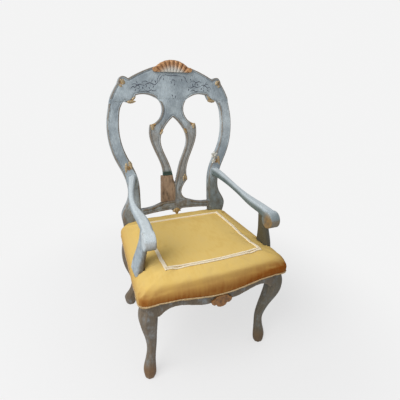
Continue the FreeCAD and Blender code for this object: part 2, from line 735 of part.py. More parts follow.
def build_shell():
    """Carved shell on the crest: bevelled ribs in a fan on a thin ground, a scroll at each end."""
    body = back_body("crest_shell")
    high, low = size("shell_radius") - size("rib_ridge"), size("shell_radius") - size("shell_tall")
    steps = int(size("shell_ribs")) - 1
    turns = [math.radians(size("shell_angle") * (step / steps - 0.5)) for step in range(steps + 1)]
    corners = [V(high * math.sin(turn), high * math.cos(turn)) for turn in turns]
    corners += [V(low * math.tan(turns[-1]), low), V(low * math.tan(turns[0]), low)]
    ground = outline(body, "fan_ground", "XZ_Plane", ring(corners), ("0", SHELL_CENTRE, "0"))
    pad(body, "ground", ground, "Sizes.rib_depth / 3")
    rib = body.newObject("PartDesign::AdditiveWedge", "rib")
    turn = "Sizes.shell_angle / 2"
    attach(rib, body, "XY_Plane", ("0", "0", SHELL_CENTRE), (V(0, 1, 0), turn))
    inner = "Sizes.shell_radius - Sizes.shell_tall - Sizes.rib_half"
    spans = {"Ymin": "-Sizes.rib_depth", "Ymax": "0", "Xmin": "-Sizes.rib_ridge", "Xmax": cell("rib_ridge"),
             "X2min": "-Sizes.rib_half", "X2max": cell("rib_half"), "Zmin": inner, "Z2min": inner,
             "Zmax": "Sizes.shell_radius - 2 * Sizes.rib_ridge", "Z2max": cell("shell_radius")}
    for side, value in spans.items():
        setattr(rib, side, value_of(value))
        rib.setExpression(side, value)
    doc.recompute()
    fan = body.newObject("PartDesign::PolarPattern", "fan")
    fan.Originals = [rib]
    fan.Axis = (ground, ["N_Axis"])
    fan.setExpression("Angle", cell("shell_angle"))
    fan.setExpression("Occurrences", cell("shell_ribs"))
    body.Tip = fan
    wide = "2 * Sizes.shell_radius"
    block(body, "Subtractive", "straight_base", ("-Sizes.shell_radius", "-Sizes.shell_radius", "0"),
          (wide, wide, SHELL_BASE))
    for side, sign in (("left", -1), ("right", 1)):
        base = (f"{sign} * Sizes.shell_radius * sin({turn})", f"{SHELL_BASE} + Sizes.scroll_radius", "0")
        scroll = circle(body, f"scroll_{side}", "XZ_Plane", base, cell("scroll_radius"))
        pad(body, f"scroll_end_{side}", scroll, cell("scroll_thick"))
    keep(body, "crest_shell")


def fork_edges():
    """Pear-shaped opening between the two strands of the splat."""
    return chain([(0, size("fork_top")), (size("fork_shoulder_half"), size("fork_shoulder_rise")),
                  (size("fork_half"), size("fork_half_rise")), (size("fork_low_half"), size("fork_low_rise")),
                  (size("fork_tip_half"), size("fork_tip_rise")), (0, size("fork_bottom"))])


def build_splat():
    """Pierced splat in two strands, and the block spliced in where its left foot was renewed."""
    neck = (size("neck_half"), size("neck_rise"))
    waist = (size("splat_waist_half"), size("splat_waist_rise"))
    knob = (size("knob_half"), size("knob_rise"))
    leaf = (size("leaf_half"), size("leaf_rise"))
    foot_rise = size("low_rail_hump")
    foot = (size("splat_foot_half"), foot_rise)
    flare = (size("flare_half"), size("flare_rise"))
    tuck = (size("tuck_half"), size("tuck_rise"))
    body = back_body("splat")
    edges = [Part.LineSegment(V(-neck[0], neck[1]), V(*neck)),
             Part.LineSegment(V(-foot[0], foot[1]), V(*foot))]
    edges += chain([neck, waist, flare, knob],
                   [knob, (size("belly_half"), size("belly_rise")),
                    (size("strand_half"), size("strand_rise")), leaf],
                   [leaf, tuck, (size("ankle_half"), size("ankle_rise")), foot])
    board = outline(body, "splat_outline", "XZ_Plane", edges + fork_edges(),
                    ("0", "0", "-Sizes.splat_back_set"))
    pad(body, "board", board, cell("splat_thick"), True)
    block(body, "Additive", "crest_tenon", ("-Sizes.splat_waist_half", SPLAT_TENON, cell("neck_rise")),
          ("2 * Sizes.splat_waist_half", cell("tenon_thick"), cell("tenon_long")))
    block(body, "Additive", "rail_tenon",
          (cell("fit_gap"), SPLAT_TENON, "Sizes.low_rail_hump - Sizes.tenon_long / 2"),
          ("Sizes.ankle_half", cell("tenon_thick"), "Sizes.tenon_long / 2"))
    block(body, "Subtractive", "splice_seat",
          ("-2 * Sizes.knob_half - Sizes.splice_inner", "0", "0"),
          ("2 * Sizes.knob_half", "2 * Sizes.crest_thick", cell("splice_rise")))
    keep(body, "splat")

    gap = size("fit_gap")
    high = size("splice_rise") - gap
    inner = -size("splice_inner") - gap
    low = foot_rise + gap
    corners = [V(-size("splice_half"), high), V(-size("splice_foot"), low), V(inner, low),
               V(inner, size("fork_bottom")), V(-size("splice_top_inner"), high)]
    body = back_body("splat_splice")
    billet = outline(body, "splice_outline", "XZ_Plane", ring(corners), ("0", "0", "-Sizes.splat_back_set"))
    pad(body, "billet", billet, cell("splat_thick"), True)
    block(body, "Additive", "rail_tenon",
          ("-Sizes.splice_half + Sizes.tenon_thick", SPLAT_TENON,
           "Sizes.low_rail_hump - Sizes.tenon_long / 2"),
          ("Sizes.ankle_half", cell("tenon_thick"), "Sizes.tenon_long / 2 + 2 * Sizes.fit_gap"))
    keep(body, "splat_splice")


def build_low_back_rail():
    """Shaped rail under the splat, with a carved leaf pendant in its middle."""
    end = size("stile_hip_out") - size("stile_hip_wide") / 2 - 3 * size("fit_gap")
    hump = (size("low_rail_hump_half"), size("low_rail_hump"))
    pendant = (size("pendant_half"), size("low_rail_arch"))
    top_end, low_end = (end, size("low_rail_top")), (end, size("low_rail_bottom"))
    body = back_body("lower_back_rail")
    edges = [Part.LineSegment(V(-hump[0], hump[1]), V(*hump))]
    sag = size("low_rail_sag")
    edges += chain([hump, ((hump[0] + end) / 2, size("low_rail_top") + sag), top_end], [top_end, low_end],
                   [low_end, ((pendant[0] + end) / 2, size("low_rail_arch") - sag), pendant])
    cheek = (size("pendant_cheek_half"), size("pendant_cheek"))
    edges += curve(both_sides([(0, size("pendant_drop")), cheek, pendant]))
    sketch = outline(body, "rail_outline", "XZ_Plane", edges)
    pad(body, "rail", sketch, cell("low_rail_thick"), True)
    grow = "2 * Sizes.fit_gap"
    for side, start in (("left", f"-{STILE_INNER} - Sizes.tenon_long"),
                        ("right", f"{STILE_INNER} - 4 * Sizes.fit_gap")):
        block(body, "Additive", f"tenon_{side}", (start, LOW_RAIL_TENON, LOW_RAIL_TENON_LOW),
              ("Sizes.tenon_long + 4 * Sizes.fit_gap", cell("tenon_thick"), LOW_RAIL_TENON_TALL))
    for side, start in (("left", "-Sizes.splice_half + Sizes.tenon_thick"), ("right", cell("fit_gap"))):
        block(body, "Subtractive", f"splat_mortise_{side}",
              (f"{start} - Sizes.fit_gap", f"{SPLAT_TENON} - Sizes.fit_gap",
               "Sizes.low_rail_hump - Sizes.tenon_long / 2 - Sizes.fit_gap"),
              (f"Sizes.ankle_half + {grow}", f"Sizes.tenon_thick + {grow}", "Sizes.tenon_long"))
    keep(body, "lower_back_rail")


def build_front_rail():
    """Front rail: bowed in plan, its lower edge cut to a serpentine that runs into the knees."""
    reach = size("front_leg_post_out") - size("front_leg_post_across") / 2 - 2 * size("fit_gap")
    front, inner = size("apron_front"), size("front_rail_inner")
    end = front + size("apron_bow")
    body = new_body("front_rail")
    plan = [Part.Arc(V(-reach, end), V(0, front), V(reach, end)),
            Part.LineSegment(V(reach, end), V(reach, inner)),
            Part.LineSegment(V(reach, inner), V(-reach, inner)),
            Part.LineSegment(V(-reach, inner), V(-reach, end))]
    pad(body, "rail", outline(body, "rail_plan", "XY_Plane", plan, ("0", "0", cell("apron_knee"))),
        "Sizes.rail_top - Sizes.apron_knee")
    knee = (reach + size("overcut"), size("apron_knee"))
    below = size("apron_knee") - size("tenon_long")
    edge = [(0, size("apron_lobe") + size("overcut")), (size("apron_lobe_out"), size("apron_lobe")),
            (size("apron_rise_out"), size("apron_rise")), knee]
    waste = curve(both_sides(edge)) + chain([knee, (knee[0], below)])
    waste.append(Part.LineSegment(V(-knee[0], below), V(knee[0], below)))
    cut_through(body, "serpentine", outline(body, "apron_edge", "XZ_Plane", waste))
    high = "Sizes.rail_tenon_high - Sizes.rail_tenon_low"
    for side, start in (("left", f"-{POST_INNER} - Sizes.tenon_long"),
                        ("right", f"{POST_INNER} - 2 * Sizes.fit_gap")):
        block(body, "Additive", f"tenon_{side}", (start, FRONT_TENON, cell("rail_tenon_low")),
              ("Sizes.tenon_long + 2 * Sizes.fit_gap", cell("tenon_thick"), high))
    keep(body, "front_rail")


def build_side_rails():
    """Side rails: splayed in plan, arched below, tenoned into the posts and the uprights."""
    gap = size("fit_gap")
    start = size("front_leg_post_along") + size("front_leg_post_across") / 2 + 2 * gap
    stop = size("rear_leg_seat_front") - gap
    near, far, thick = size("side_rail_front_out"), size("side_rail_back_out"), size("side_rail_thick")
    corners = [V(near, start), V(far, stop), V(far - thick, stop), V(near - thick, start)]
    body = new_body("side_rail_right")
    plan = outline(body, "rail_plan", "XY_Plane", ring(corners), ("0", "0", cell("side_rail_low")))
    pad(body, "rail", plan, "Sizes.rail_top - Sizes.side_rail_low")
    low, below = size("side_rail_low"), size("side_rail_low") - size("tenon_long")
    near_end, far_end = start - size("overcut"), stop + size("overcut")
    arch = [V(near_end, low), V((start + stop) / 2, size("side_rail_arch")), V(far_end, low)]
    waste = [Part.Arc(*arch), Part.LineSegment(arch[2], V(far_end, below)),
             Part.LineSegment(V(far_end, below), V(near_end, below)),
             Part.LineSegment(V(near_end, below), arch[0])]
    cut_through(body, "arch", outline(body, "lower_edge", "YZ_Plane", waste))
    high = "Sizes.rail_tenon_high - Sizes.rail_tenon_low"
    block(body, "Additive", "post_tenon",
          (SIDE_TENON_FRONT, f"{POST_BACK} - Sizes.tenon_long", cell("rail_tenon_low")),
          (cell("tenon_thick"), "Sizes.tenon_long + 3 * Sizes.fit_gap", high))
    block(body, "Additive", "stile_tenon",
          (SIDE_TENON_BACK, "Sizes.rear_leg_seat_front - 2 * Sizes.fit_gap", cell("rail_tenon_low")),
          (cell("tenon_thick"), "Sizes.tenon_long + 2 * Sizes.fit_gap", high))
    half = "(Sizes.tenon_thick / 2 + Sizes.fit_gap)"
    block(body, "Subtractive", "support_mortise",
          (f"Sizes.support_base_out - {half}", f"Sizes.support_base_along - {half}",
           "Sizes.rail_top - Sizes.tenon_long - Sizes.fit_gap"),
          (f"2 * {half}", f"2 * {half}", "2 * Sizes.tenon_long"))
    keep(body, "side_rail_right")
    mirrored(body, "side_rail_left")


def build_rear_rail():
    """Rear rail between the uprights, its mortises cut in their inner sides."""
    body = new_body("rear_rail")
    half = f"({REAR_RAIL_HALF} - 2 * Sizes.fit_gap)"
    block(body, "Additive", "rail", (f"-{half}", cell("rear_rail_front"), cell("rear_rail_low")),
          (f"2 * {half}", cell("rear_rail_thick"), "Sizes.rail_top - Sizes.rear_rail_low"))
    long = f"({REAR_RAIL_HALF} + Sizes.tenon_long)"
    block(body, "Additive", "tenons", (f"-{long}", REAR_TENON, cell("rail_tenon_low")),
          (f"2 * {long}", cell("tenon_thick"), "Sizes.rail_tenon_high - Sizes.rail_tenon_low"))
    keep(body, "rear_rail")


def side_inner(along):
    """Inner face of a side rail at a place front to back."""
    start = size("front_leg_post_along") + size("front_leg_post_across") / 2
    share = (along - start) / (size("rear_leg_seat_front") - start)
    outer = size("side_rail_front_out") + share * (size("side_rail_back_out") - size("side_rail_front_out"))
    return outer - size("side_rail_thick")


def corner_block(name, corners):
    """Block glued into a corner of the seat frame."""
    body = new_body(name)
    edges = ring([V(*corner) for corner in corners])
    plan = outline(body, "block_plan", "XY_Plane", edges, ("0", "0", cell("block_low")))
    pad(body, "corner", plan, "Sizes.block_high - Sizes.block_low")
    return body


def build_corner_blocks():
    """Four blocks glued into the corners of the seat frame."""
    gap = size("fit_gap")
    reach = size("block_reach")
    inner = size("front_rail_inner") + gap
    back = size("front_leg_post_along") + size("front_leg_post_across") / 2 + 2 * gap
    post = size("front_leg_post_out") - size("front_leg_post_across") / 2 - 2 * gap
    front = [(post - reach, inner), (post, inner), (post, back), (side_inner(back) - gap, back),
             (side_inner(back + reach) - gap, back + reach)]
    rail, stile = size("rear_rail_front") - gap, size("rear_leg_seat_front") - 4 * gap
    tuck = size("rear_leg_seat_out") - size("rear_leg_seat_wide") / 2 - 4 * gap
    rear = [(tuck - reach, rail), (tuck, rail), (tuck, stile), (side_inner(stile) - gap, stile),
            (side_inner(stile - reach) - gap, stile - reach)]
    for end, corners in (("front", front), ("rear", rear)):
        right = keep(corner_block(f"corner_block_{end}_right", corners), f"corner_block_{end}_right")
        mirrored(right, f"corner_block_{end}_left")


def build_apron_leaf():
    """Carved leaf laid on the middle of the apron, fitted to its bow."""
    half, top, tip = size("apron_leaf_half"), size("apron_leaf_top"), size("apron_leaf_tip")
    body = new_body("apron_leaf_blank")
    points = [(half * across, tip + (top - tip) * up) for across, up in LEAF]
    edges = ring([V(-x, z) for x, z in reversed(points)] + [V(x, z) for x, z in points])
    sketch = outline(body, "leaf_outline", "XZ_Plane", edges,
                     ("0", "0", "-Sizes.apron_front - Sizes.apron_bow / 2"))
    pad(body, "leaf", sketch, "Sizes.apron_leaf_thick + Sizes.apron_bow / 2")
    keep(cut("leaf", body, [nodes["front_rail"]]), "apron_leaf")


def seat_section(values, grow):
    """Closed outline of the seat at one level: bowed in front, drawn in behind, corners cut round."""
    height, front, bow, half_front, half_back, back, corner, tilt, share_out, share_up = values
    out, lift = grow * share_out, grow * share_up
    points = [V(-half_front - out, front + bow - out), V(half_front + out, front + bow - out),
              V(half_back + out, back + out), V(-half_back - out, back + out)]
    ends = []
    for index, point in enumerate(points):
        before, after = points[index - 1] - point, points[(index + 1) % 4] - point
        before.normalize()
        after.normalize()
        bisector = before + after
        bisector.normalize()
        half_angle = before.getAngle(after) / 2
        centre = point + bisector * (corner / math.cos(half_angle))
        radius = corner * math.tan(half_angle)
        ends.append((point + before * corner, centre - bisector * radius, point + after * corner))
    bowed = Part.Arc(ends[0][2], V(0, front - out), ends[1][0]).toShape()
    outline_points = bowed.discretize(Number=FRONT_CHORDS + 1)[:-1]
    for index in range(1, 5):
        outline_points += ends[index % 4]
    middle = FRONT_CHORDS // 2
    outline_points = outline_points[middle:-1] + outline_points[:middle + 1]
    wire = Part.makePolygon(outline_points)
    wire.Placement = FreeCAD.Placement(V(0, 0, height + lift), FreeCAD.Rotation(V(1, 0, 0), -tilt))
    return wire


def seat_values(station):
    """Sheet values of one seat section."""
    return [size(f"seat_{station}_{column}") for column in SEAT_COLUMNS + LEAN_COLUMNS]


def blend(before, start, stop, after, share):
    """Value on the smooth curve through four even stations, at a share of the way between the middle two."""
    straight = (stop - before) * share
    bend = (2 * before - 5 * start + 4 * stop - after) * share ** 2
    return start + (straight + bend + (3 * start - before - 3 * stop + after) * share ** 3) / 2


def seat_levels():
    """Values of the seat's sections, with smooth levels added between the driving ones."""
    rows = [seat_values(station) for station in SEAT]
    rows = [rows[0]] + rows + [rows[-1]]
    levels = []
    for index in range(1, len(rows) - 2):
        for step in range(SEAT_STEPS):
            columns = zip(*rows[index - 1:index + 3])
            levels.append([blend(*column, step / SEAT_STEPS) for column in columns])
    return levels + [rows[-1]]


def seat_form(name, grow, open_below=False):
    """The stuffed seat as one solid, its surface moved out by a thickness; as a tool it goes on below."""
    wires = [seat_section(values, grow) for values in seat_levels()]
    form = Part.makeLoft(wires, True, True)
    if open_below:
        form = form.fuse(Part.Face(wires[0]).extrude(V(0, 0, -size("tenon_long"))))
    return shaped(name, form)


def prism(name, edges, start, stop):
    """Closed outline in the XZ plane, carried from one place to another along Y."""
    wire = Part.Wire(Part.sortEdges([edge.toShape() for edge in edges])[0])
    wire.rotate(V(), V(1, 0, 0), 90)
    wire.translate(V(0, start, 0))
    return shaped(name, Part.Face(wire).extrude(V(0, stop - start, 0)))


def gimp_points(lift):
    """Lower edge of the cover over the front, from the middle to a corner, raised by a height."""
    wide = size("seat_bulge_half_front") + size("block_reach")
    return [(0, size("gimp_centre") + lift), (size("gimp_peak_out"), size("gimp_rise") + lift),
            (size("gimp_corner_out"), size("gimp_corner") + lift), (wide, size("gimp_corner") + lift)]


def seat_well(name, half_front, half_back, top):
    """Room under the cushion for part of the seat frame, up to a height."""
    gap = 2 * size("fit_gap")
    back = size("rear_rail_front") + size("rear_rail_thick") + gap
    values = [0, size("apron_front") - gap, size("apron_bow"), half_front, half_back, back,
              size("seat_hem_corner"), 0, 0, 0]
    return shaped(name, Part.Face(seat_section(values, 0)).extrude(V(0, 0, top)))


def build_upholstery():
    """Webbing, hessian, the stuffed cushion in its velvet cover, braid and gimp."""
    build_webbing()
    gap = size("fit_gap")
    stile_side = size("rear_leg_rail_out") + size("rear_leg_rail_wide") / 2 + 4 * gap
    post_side = size("front_leg_post_out") + size("front_leg_post_across") / 2 + size("well_room")
    rail_side = size("side_rail_front_out") + size("well_room")
    cloth = size("rail_top") + 2 * size("web_thick") + size("hessian_thick")
    web_front, web_back = (size(f"hessian_{end}_half") + size("web_room") for end in ("front", "back"))
    wells = [seat_well("post_well", post_side, stile_side, size("post_top") + gap),
             seat_well("rail_well", rail_side, stile_side, size("rail_top") + gap),
             seat_well("web_well", web_front, web_back, cloth + gap)]
    edge = gimp_points(0)
    wide, low = edge[-1][0], size("apron_knee")
    half_edge = [edge[:3], edge[2:]]
    below = curve(both_sides(half_edge[0])) + chain(half_edge[1], [edge[-1], (wide, low)])
    below.append(Part.LineSegment(V(-wide, low), V(wide, low)))
    under_gimp = prism("under_gimp", below, -2 * wide, 2 * wide)
    keep(cut("cushion", seat_form("seat_stuffed", 0), wells + [under_gimp] + seat_notches()), "seat_cushion")
    face = seat_form("seat_face", 0, True)
    build_gimp(face)
    build_braid(face)


def seat_notches():
    """Room in the upholstery for the arm supports and the back uprights."""
    made = []
    beyond = "2 * Sizes.seat_bulge_half_front"
    low = "Sizes.rail_top"
    inner = "Sizes.support_lower_out - Sizes.support_lower_wide / 2 - Sizes.notch_gap"
    front = "Sizes.support_base_along - Sizes.support_base_deep / 2 - Sizes.notch_gap"
    uprights = f"{STILE_INNER} - Sizes.notch_gap"
    behind = "Sizes.rear_leg_rail_front - 2 * Sizes.notch_gap"
    for side in ("right", "left"):
        flip = "" if side == "right" else f" - {beyond}"
        sign = "" if side == "right" else "-"
        made.append(plain_box(f"support_notch_{side}", (f"{sign}({inner}){flip}", front, low),
                              (beyond, "Sizes.support_base_deep + 2 * Sizes.notch_gap", beyond)))
        made.append(plain_box(f"stile_notch_{side}", (f"{sign}({uprights}){flip}", behind, "0"),
                              (beyond, beyond, beyond + " * 2")))
    return made


def build_webbing():
    """Webbing strained both ways over the rails, with the hessian laid on it."""
    top = cell("rail_top")
    strips = []
    long = "Sizes.rear_rail_front - Sizes.front_rail_inner + 2 * Sizes.web_lap"
    for index in range(4):
        start = f"({index} - 1.5) * Sizes.web_long_spacing - Sizes.web_wide / 2"
        strips.append(plain_box(f"web_long_{index}", (start, "Sizes.front_rail_inner - Sizes.web_lap", top),
                                (cell("web_wide"), long, cell("web_thick"))))
    grouped("webbing_front_to_back", strips)
    strips = []
    for index in range(4):
        along = (index - 1.5) * size("web_spacing") + size("tenon_long")
        half = side_inner(along + size("web_wide") / 2) + size("web_side_lap")
        corner = (f"-{half}", f"{along} - Sizes.web_wide / 2", "Sizes.rail_top + Sizes.web_thick")
        strips.append(plain_box(f"web_cross_{index}", corner,
                                (f"2 * {half}", cell("web_wide"), cell("web_thick"))))
    grouped("webbing_side_to_side", strips)
    front = size("front_rail_inner") - size("hessian_lap")
    back = size("rear_leg_seat_front") - size("hessian_clear")
    near, far = size("hessian_front_half"), size("hessian_back_half")
    corners = [V(-near, front), V(near, front), V(far, back), V(-far, back)]
    body = new_body("hessian")
    plan = outline(body, "cloth_plan", "XY_Plane", ring(corners),
                   ("0", "0", "Sizes.rail_top + 2 * Sizes.web_thick"))
    pad(body, "cloth", plan, cell("hessian_thick"))
    keep(body, "hessian")


def build_gimp(face):
    """Woven gimp that trims the lower edge of the cover, up to the back uprights."""
    skin = cut("gimp_skin", seat_form("gimp_outer", size("gimp_thick")), [face])
    low, high = gimp_points(0), gimp_points(size("gimp_tall"))
    edges = curve(both_sides(low[:3])) + curve(both_sides(high[:3]))
    edges += chain(low[2:], high[2:], [low[-1], high[-1]])
    band = prism("gimp_band", edges, -2 * low[-1][0], size("rear_leg_rail_front") - 4 * size("notch_gap"))
    keep(common("gimp", skin, band), "seat_gimp")


def build_braid(face):
    """Braid sewn round the top of the seat."""
    skin = cut("braid_skin", seat_form("braid_outer", size("braid_thick")), [face])
    values = seat_values("braid")
    half = size("braid_wide") / 2
    values[0] = 0
    values[-3:] = (0, 1, 0)
    rings = []
    for name, grow in (("braid_wide_loop", half), ("braid_narrow_loop", -half)):
        face = Part.Face(seat_section(values, grow))
        face.translate(V(0, 0, size("seat_shoulder_height")))
        rings.append(shaped(name, face.extrude(V(0, 0, size("seat_shoulder_height")))))
    keep(common("braid", skin, cut("braid_loop", rings[0], rings[1:])), "seat_braid")


fill_sheet()
build_stiles()
build_front_legs()
build_arms()
build_arm_supports()
build_crest()
build_shell()
build_splat()
build_low_back_rail()
build_side_rails()
build_front_rail()
build_rear_rail()
build_corner_blocks()
build_apron_leaf()
build_upholstery()
doc.recompute()

# Nothing is written unless every object and every piece is sound
failed = [obj.Name for obj in doc.Objects if "Invalid" in obj.State or "Error" in obj.State]
failed += [name for name, obj in nodes.items() if obj.Shape.isNull() or not obj.Shape.isValid()]
if failed:
    raise RuntimeError(f"not sound: {failed}")
os.makedirs("parts", exist_ok=True)
for name, obj in nodes.items():
    obj.Shape.exportStep(f"parts/{name}.step")
    print(name, len(obj.Shape.Solids), "solid(s),", round(obj.Shape.Volume / 1000, 1), "cm3")
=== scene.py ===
"""Looks of a painted, parcel-gilt rococo armchair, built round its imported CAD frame."""

import json
import logging
import math
from dataclasses import dataclass, field
from enum import Enum
from typing import Optional, Sequence

import bmesh
import bpy
import numpy as np
from mathutils import Matrix, Vector
from mathutils.bvhtree import BVHTree
from mathutils.kdtree import KDTree

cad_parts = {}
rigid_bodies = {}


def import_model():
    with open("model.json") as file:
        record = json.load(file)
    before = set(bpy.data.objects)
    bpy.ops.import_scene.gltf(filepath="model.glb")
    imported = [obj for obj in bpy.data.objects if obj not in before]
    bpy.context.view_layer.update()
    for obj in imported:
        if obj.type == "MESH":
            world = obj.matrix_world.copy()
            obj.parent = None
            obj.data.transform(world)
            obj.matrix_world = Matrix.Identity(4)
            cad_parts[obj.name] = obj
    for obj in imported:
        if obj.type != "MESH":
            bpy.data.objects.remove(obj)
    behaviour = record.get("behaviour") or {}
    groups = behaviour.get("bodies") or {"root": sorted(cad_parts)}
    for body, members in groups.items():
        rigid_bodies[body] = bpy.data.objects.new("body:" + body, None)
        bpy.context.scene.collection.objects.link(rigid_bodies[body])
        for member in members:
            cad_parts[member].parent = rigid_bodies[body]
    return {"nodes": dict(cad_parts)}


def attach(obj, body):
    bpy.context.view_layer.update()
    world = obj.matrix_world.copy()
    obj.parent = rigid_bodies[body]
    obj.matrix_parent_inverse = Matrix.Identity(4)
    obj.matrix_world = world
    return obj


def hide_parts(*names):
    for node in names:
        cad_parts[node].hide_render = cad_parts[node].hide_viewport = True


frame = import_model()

log = logging.getLogger("armchair")
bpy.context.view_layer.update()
NODES = frame["nodes"]
MM = 0.001
MERGE_GAP = 1e-5
FRAME_WOOD = (
    "crest_rail", "splat", "lower_back_rail", "stile_left", "stile_right",
    "arm_left", "arm_right", "arm_support_left", "arm_support_right",
    "front_leg_left", "front_leg_right", "front_rail", "side_rail_left", "side_rail_right")
BOARDS = ("crest_rail", "splat", "lower_back_rail")
UPRIGHTS = ("stile_left", "stile_right")
SIDES = ((-1.0, "left"), (1.0, "right"))
Colour = tuple[float, float, float, float]


def linear(red: int, green: int, blue: int) -> Colour:
    """Turn a screen colour into a render colour.

    Args:
        red, green, blue: 8-bit screen values.
    Returns:
        Linear colour with full alpha.
    """
    steps = [value / 255.0 for value in (red, green, blue)]
    low = [step / 12.92 if step <= 0.04045 else ((step + 0.055) / 1.055) ** 2.4 for step in steps]
    return (low[0], low[1], low[2], 1.0)


def smooth(values: np.ndarray, low: float, high: float) -> np.ndarray:
    """Ease values from 0 at low to 1 at high.

    Args:
        values: numbers to ease.
        low, high: where the ramp starts and ends; low may be the larger.
    Returns:
        Eased values from 0 to 1.
    """
    part = np.clip((values - low) / (high - low), 0.0, 1.0)
    return part * part * (3.0 - 2.0 * part)


# ---------------------------------------------------------------- meshes


def read(items: bpy.types.bpy_prop_collection, what: str, width: int,
         kind: type = np.float32) -> np.ndarray:
    """Read one property of every item.

    Args:
        items: vertices, edges or the like.
        what: property name.
        width: numbers per item.
        kind: type of the numbers.
    Returns:
        Array of n by width.
    """
    flat = np.empty(len(items) * width, kind)
    items.foreach_get(what, flat)
    return flat.reshape(-1, width)


def coords(mesh: bpy.types.Mesh) -> np.ndarray:
    """Read vertex places as an array of n by 3."""
    return read(mesh.vertices, "co", 3).astype(float)


def set_coords(mesh: bpy.types.Mesh, places: np.ndarray) -> None:
    """Write vertex places from an array of n by 3."""
    mesh.vertices.foreach_set("co", places.astype(np.float32).ravel())
    mesh.update()


def normals(mesh: bpy.types.Mesh) -> np.ndarray:
    """Read vertex normals as an array of n by 3."""
    return read(mesh.vertex_normals, "vector", 3).astype(float)


def edge_pairs(mesh: bpy.types.Mesh) -> np.ndarray:
    """Read edge ends as an array of m by 2 vertex numbers."""
    return read(mesh.edges, "vertices", 2, np.int32)


def put(mesh: bpy.types.Mesh, name: str, values: np.ndarray) -> None:
    """Store one number per vertex for the shaders."""
    layer = mesh.attributes.get(name) or mesh.attributes.new(name, "FLOAT", "POINT")
    layer.data.foreach_set("value", np.asarray(values, np.float32))


def averaged(values: np.ndarray, pairs: np.ndarray) -> np.ndarray:
    """Average each vertex's neighbours.

    Args:
        values: n by k numbers.
        pairs: edge ends.
    Returns:
        n by k averages.
    """
    count = len(values)
    one, two = pairs[:, 0], pairs[:, 1]
    degree = np.bincount(one, minlength=count) + np.bincount(two, minlength=count)
    sums = [np.bincount(one, values[two, k], count) + np.bincount(two, values[one, k], count)
            for k in range(values.shape[1])]
    return np.stack(sums, -1) / np.maximum(degree, 1)[:, None]


def relaxed(places: np.ndarray, pairs: np.ndarray, rounds: int, weight: np.ndarray) -> np.ndarray:
    """Smooth a surface without shrinking it.

    Args:
        places: n by 3 vertex places.
        pairs: edge ends.
        rounds: number of in-and-out passes.
        weight: n shares from 0 to 1.
    Returns:
        Smoothed places.
    """
    for _ in range(rounds):
        for share in (0.52, -0.54):
            places = places + share * weight[:, None] * (averaged(places, pairs) - places)
    return places


def linked(name: str, data: bpy.types.ID) -> bpy.types.Object:
    """Put an object with this data into the scene.

    Args:
        name: object name.
        data: its mesh, curve, lamp or camera.
    Returns:
        The new object.
    """
    made = bpy.data.objects.new(name, data)
    bpy.context.scene.collection.objects.link(made)
    return made


def merged(name: str) -> bmesh.types.BMesh:
    """Copy a CAD node's mesh and close its seams.

    Args:
        name: CAD node.
    Returns:
        New bmesh.
    """
    body = bmesh.new()
    body.from_mesh(NODES[name].data)
    bmesh.ops.remove_doubles(body, verts=body.verts, dist=MERGE_GAP)
    return body


def stored(body: bmesh.types.BMesh) -> bpy.types.Mesh:
    """Store a bmesh.

    Args:
        body: bmesh, freed here.
    Returns:
        New mesh.
    """
    mesh = bpy.data.meshes.new("made")
    body.to_mesh(mesh)
    body.free()
    return mesh


def from_bmesh(body: bmesh.types.BMesh) -> bpy.types.Mesh:
    """Store a bmesh with outward normals, and free it."""
    bmesh.ops.recalc_face_normals(body, faces=body.faces)
    return stored(body)


def joined_copy(names: Sequence[str]) -> bpy.types.Mesh:
    """Copy CAD nodes into one mesh with closed seams.

    Args:
        names: CAD nodes.
    Returns:
        New mesh.
    """
    whole = bmesh.new()
    for name in names:
        whole.from_mesh(from_bmesh(merged(name)))
    return stored(whole)


def evaluated(holder: bpy.types.Object) -> bpy.types.Mesh:
    """Take an object's mesh with its modifiers.

    Args:
        holder: object to read.
    Returns:
        New mesh.
    """
    graph = bpy.context.evaluated_depsgraph_get()
    graph.update()
    return bpy.data.meshes.new_from_object(holder.evaluated_get(graph))


def modified(mesh: bpy.types.Mesh, kind: str, **settings: object) -> bpy.types.Mesh:
    """Apply one modifier.

    Args:
        mesh: mesh to start from.
        kind: modifier type.
        settings: modifier properties.
    Returns:
        New mesh.
    """
    holder = linked("holder", mesh)
    tool = holder.modifiers.new("tool", kind)
    for key, value in settings.items():
        setattr(tool, key, value)
    made = evaluated(holder)
    bpy.data.objects.remove(holder)
    return made


def voxelled(mesh: bpy.types.Mesh, size: float) -> bpy.types.Mesh:
    """Remesh closed meshes into one even skin with voxels of this size in metres."""
    return modified(mesh, "REMESH", mode="VOXEL", voxel_size=size)


def softened(name: str, size: float, rounds: int, share: float = 0.9) -> bpy.types.Mesh:
    """Copy a CAD node as an even skin with softened edges.

    Args:
        name: CAD node.
        size: voxel size in metres.
        rounds, share: smoothing passes and their strength.
    Returns:
        New mesh.
    """
    mesh = voxelled(joined_copy((name,)), size)
    even = np.full(len(mesh.vertices), share)
    set_coords(mesh, relaxed(coords(mesh), edge_pairs(mesh), rounds, even))
    return mesh


def tree_of(mesh: bpy.types.Mesh) -> BVHTree:
    """Make a search tree of a mesh's faces.

    Args:
        mesh: mesh to search later.
    Returns:
        Search tree.
    """
    body = bmesh.new()
    body.from_mesh(mesh)
    found = BVHTree.FromBMesh(body)
    body.free()
    return found


def point_tree(points: Sequence[Sequence[float]], numbers: Sequence[int]) -> KDTree:
    """Make a search tree of points.

    Args:
        points: places in metres.
        numbers: number that each point answers with.
    Returns:
        Balanced search tree.
    """
    tree = KDTree(len(points))
    for place, number in zip(points, numbers):
        tree.insert(place, number)
    tree.balance()
    return tree


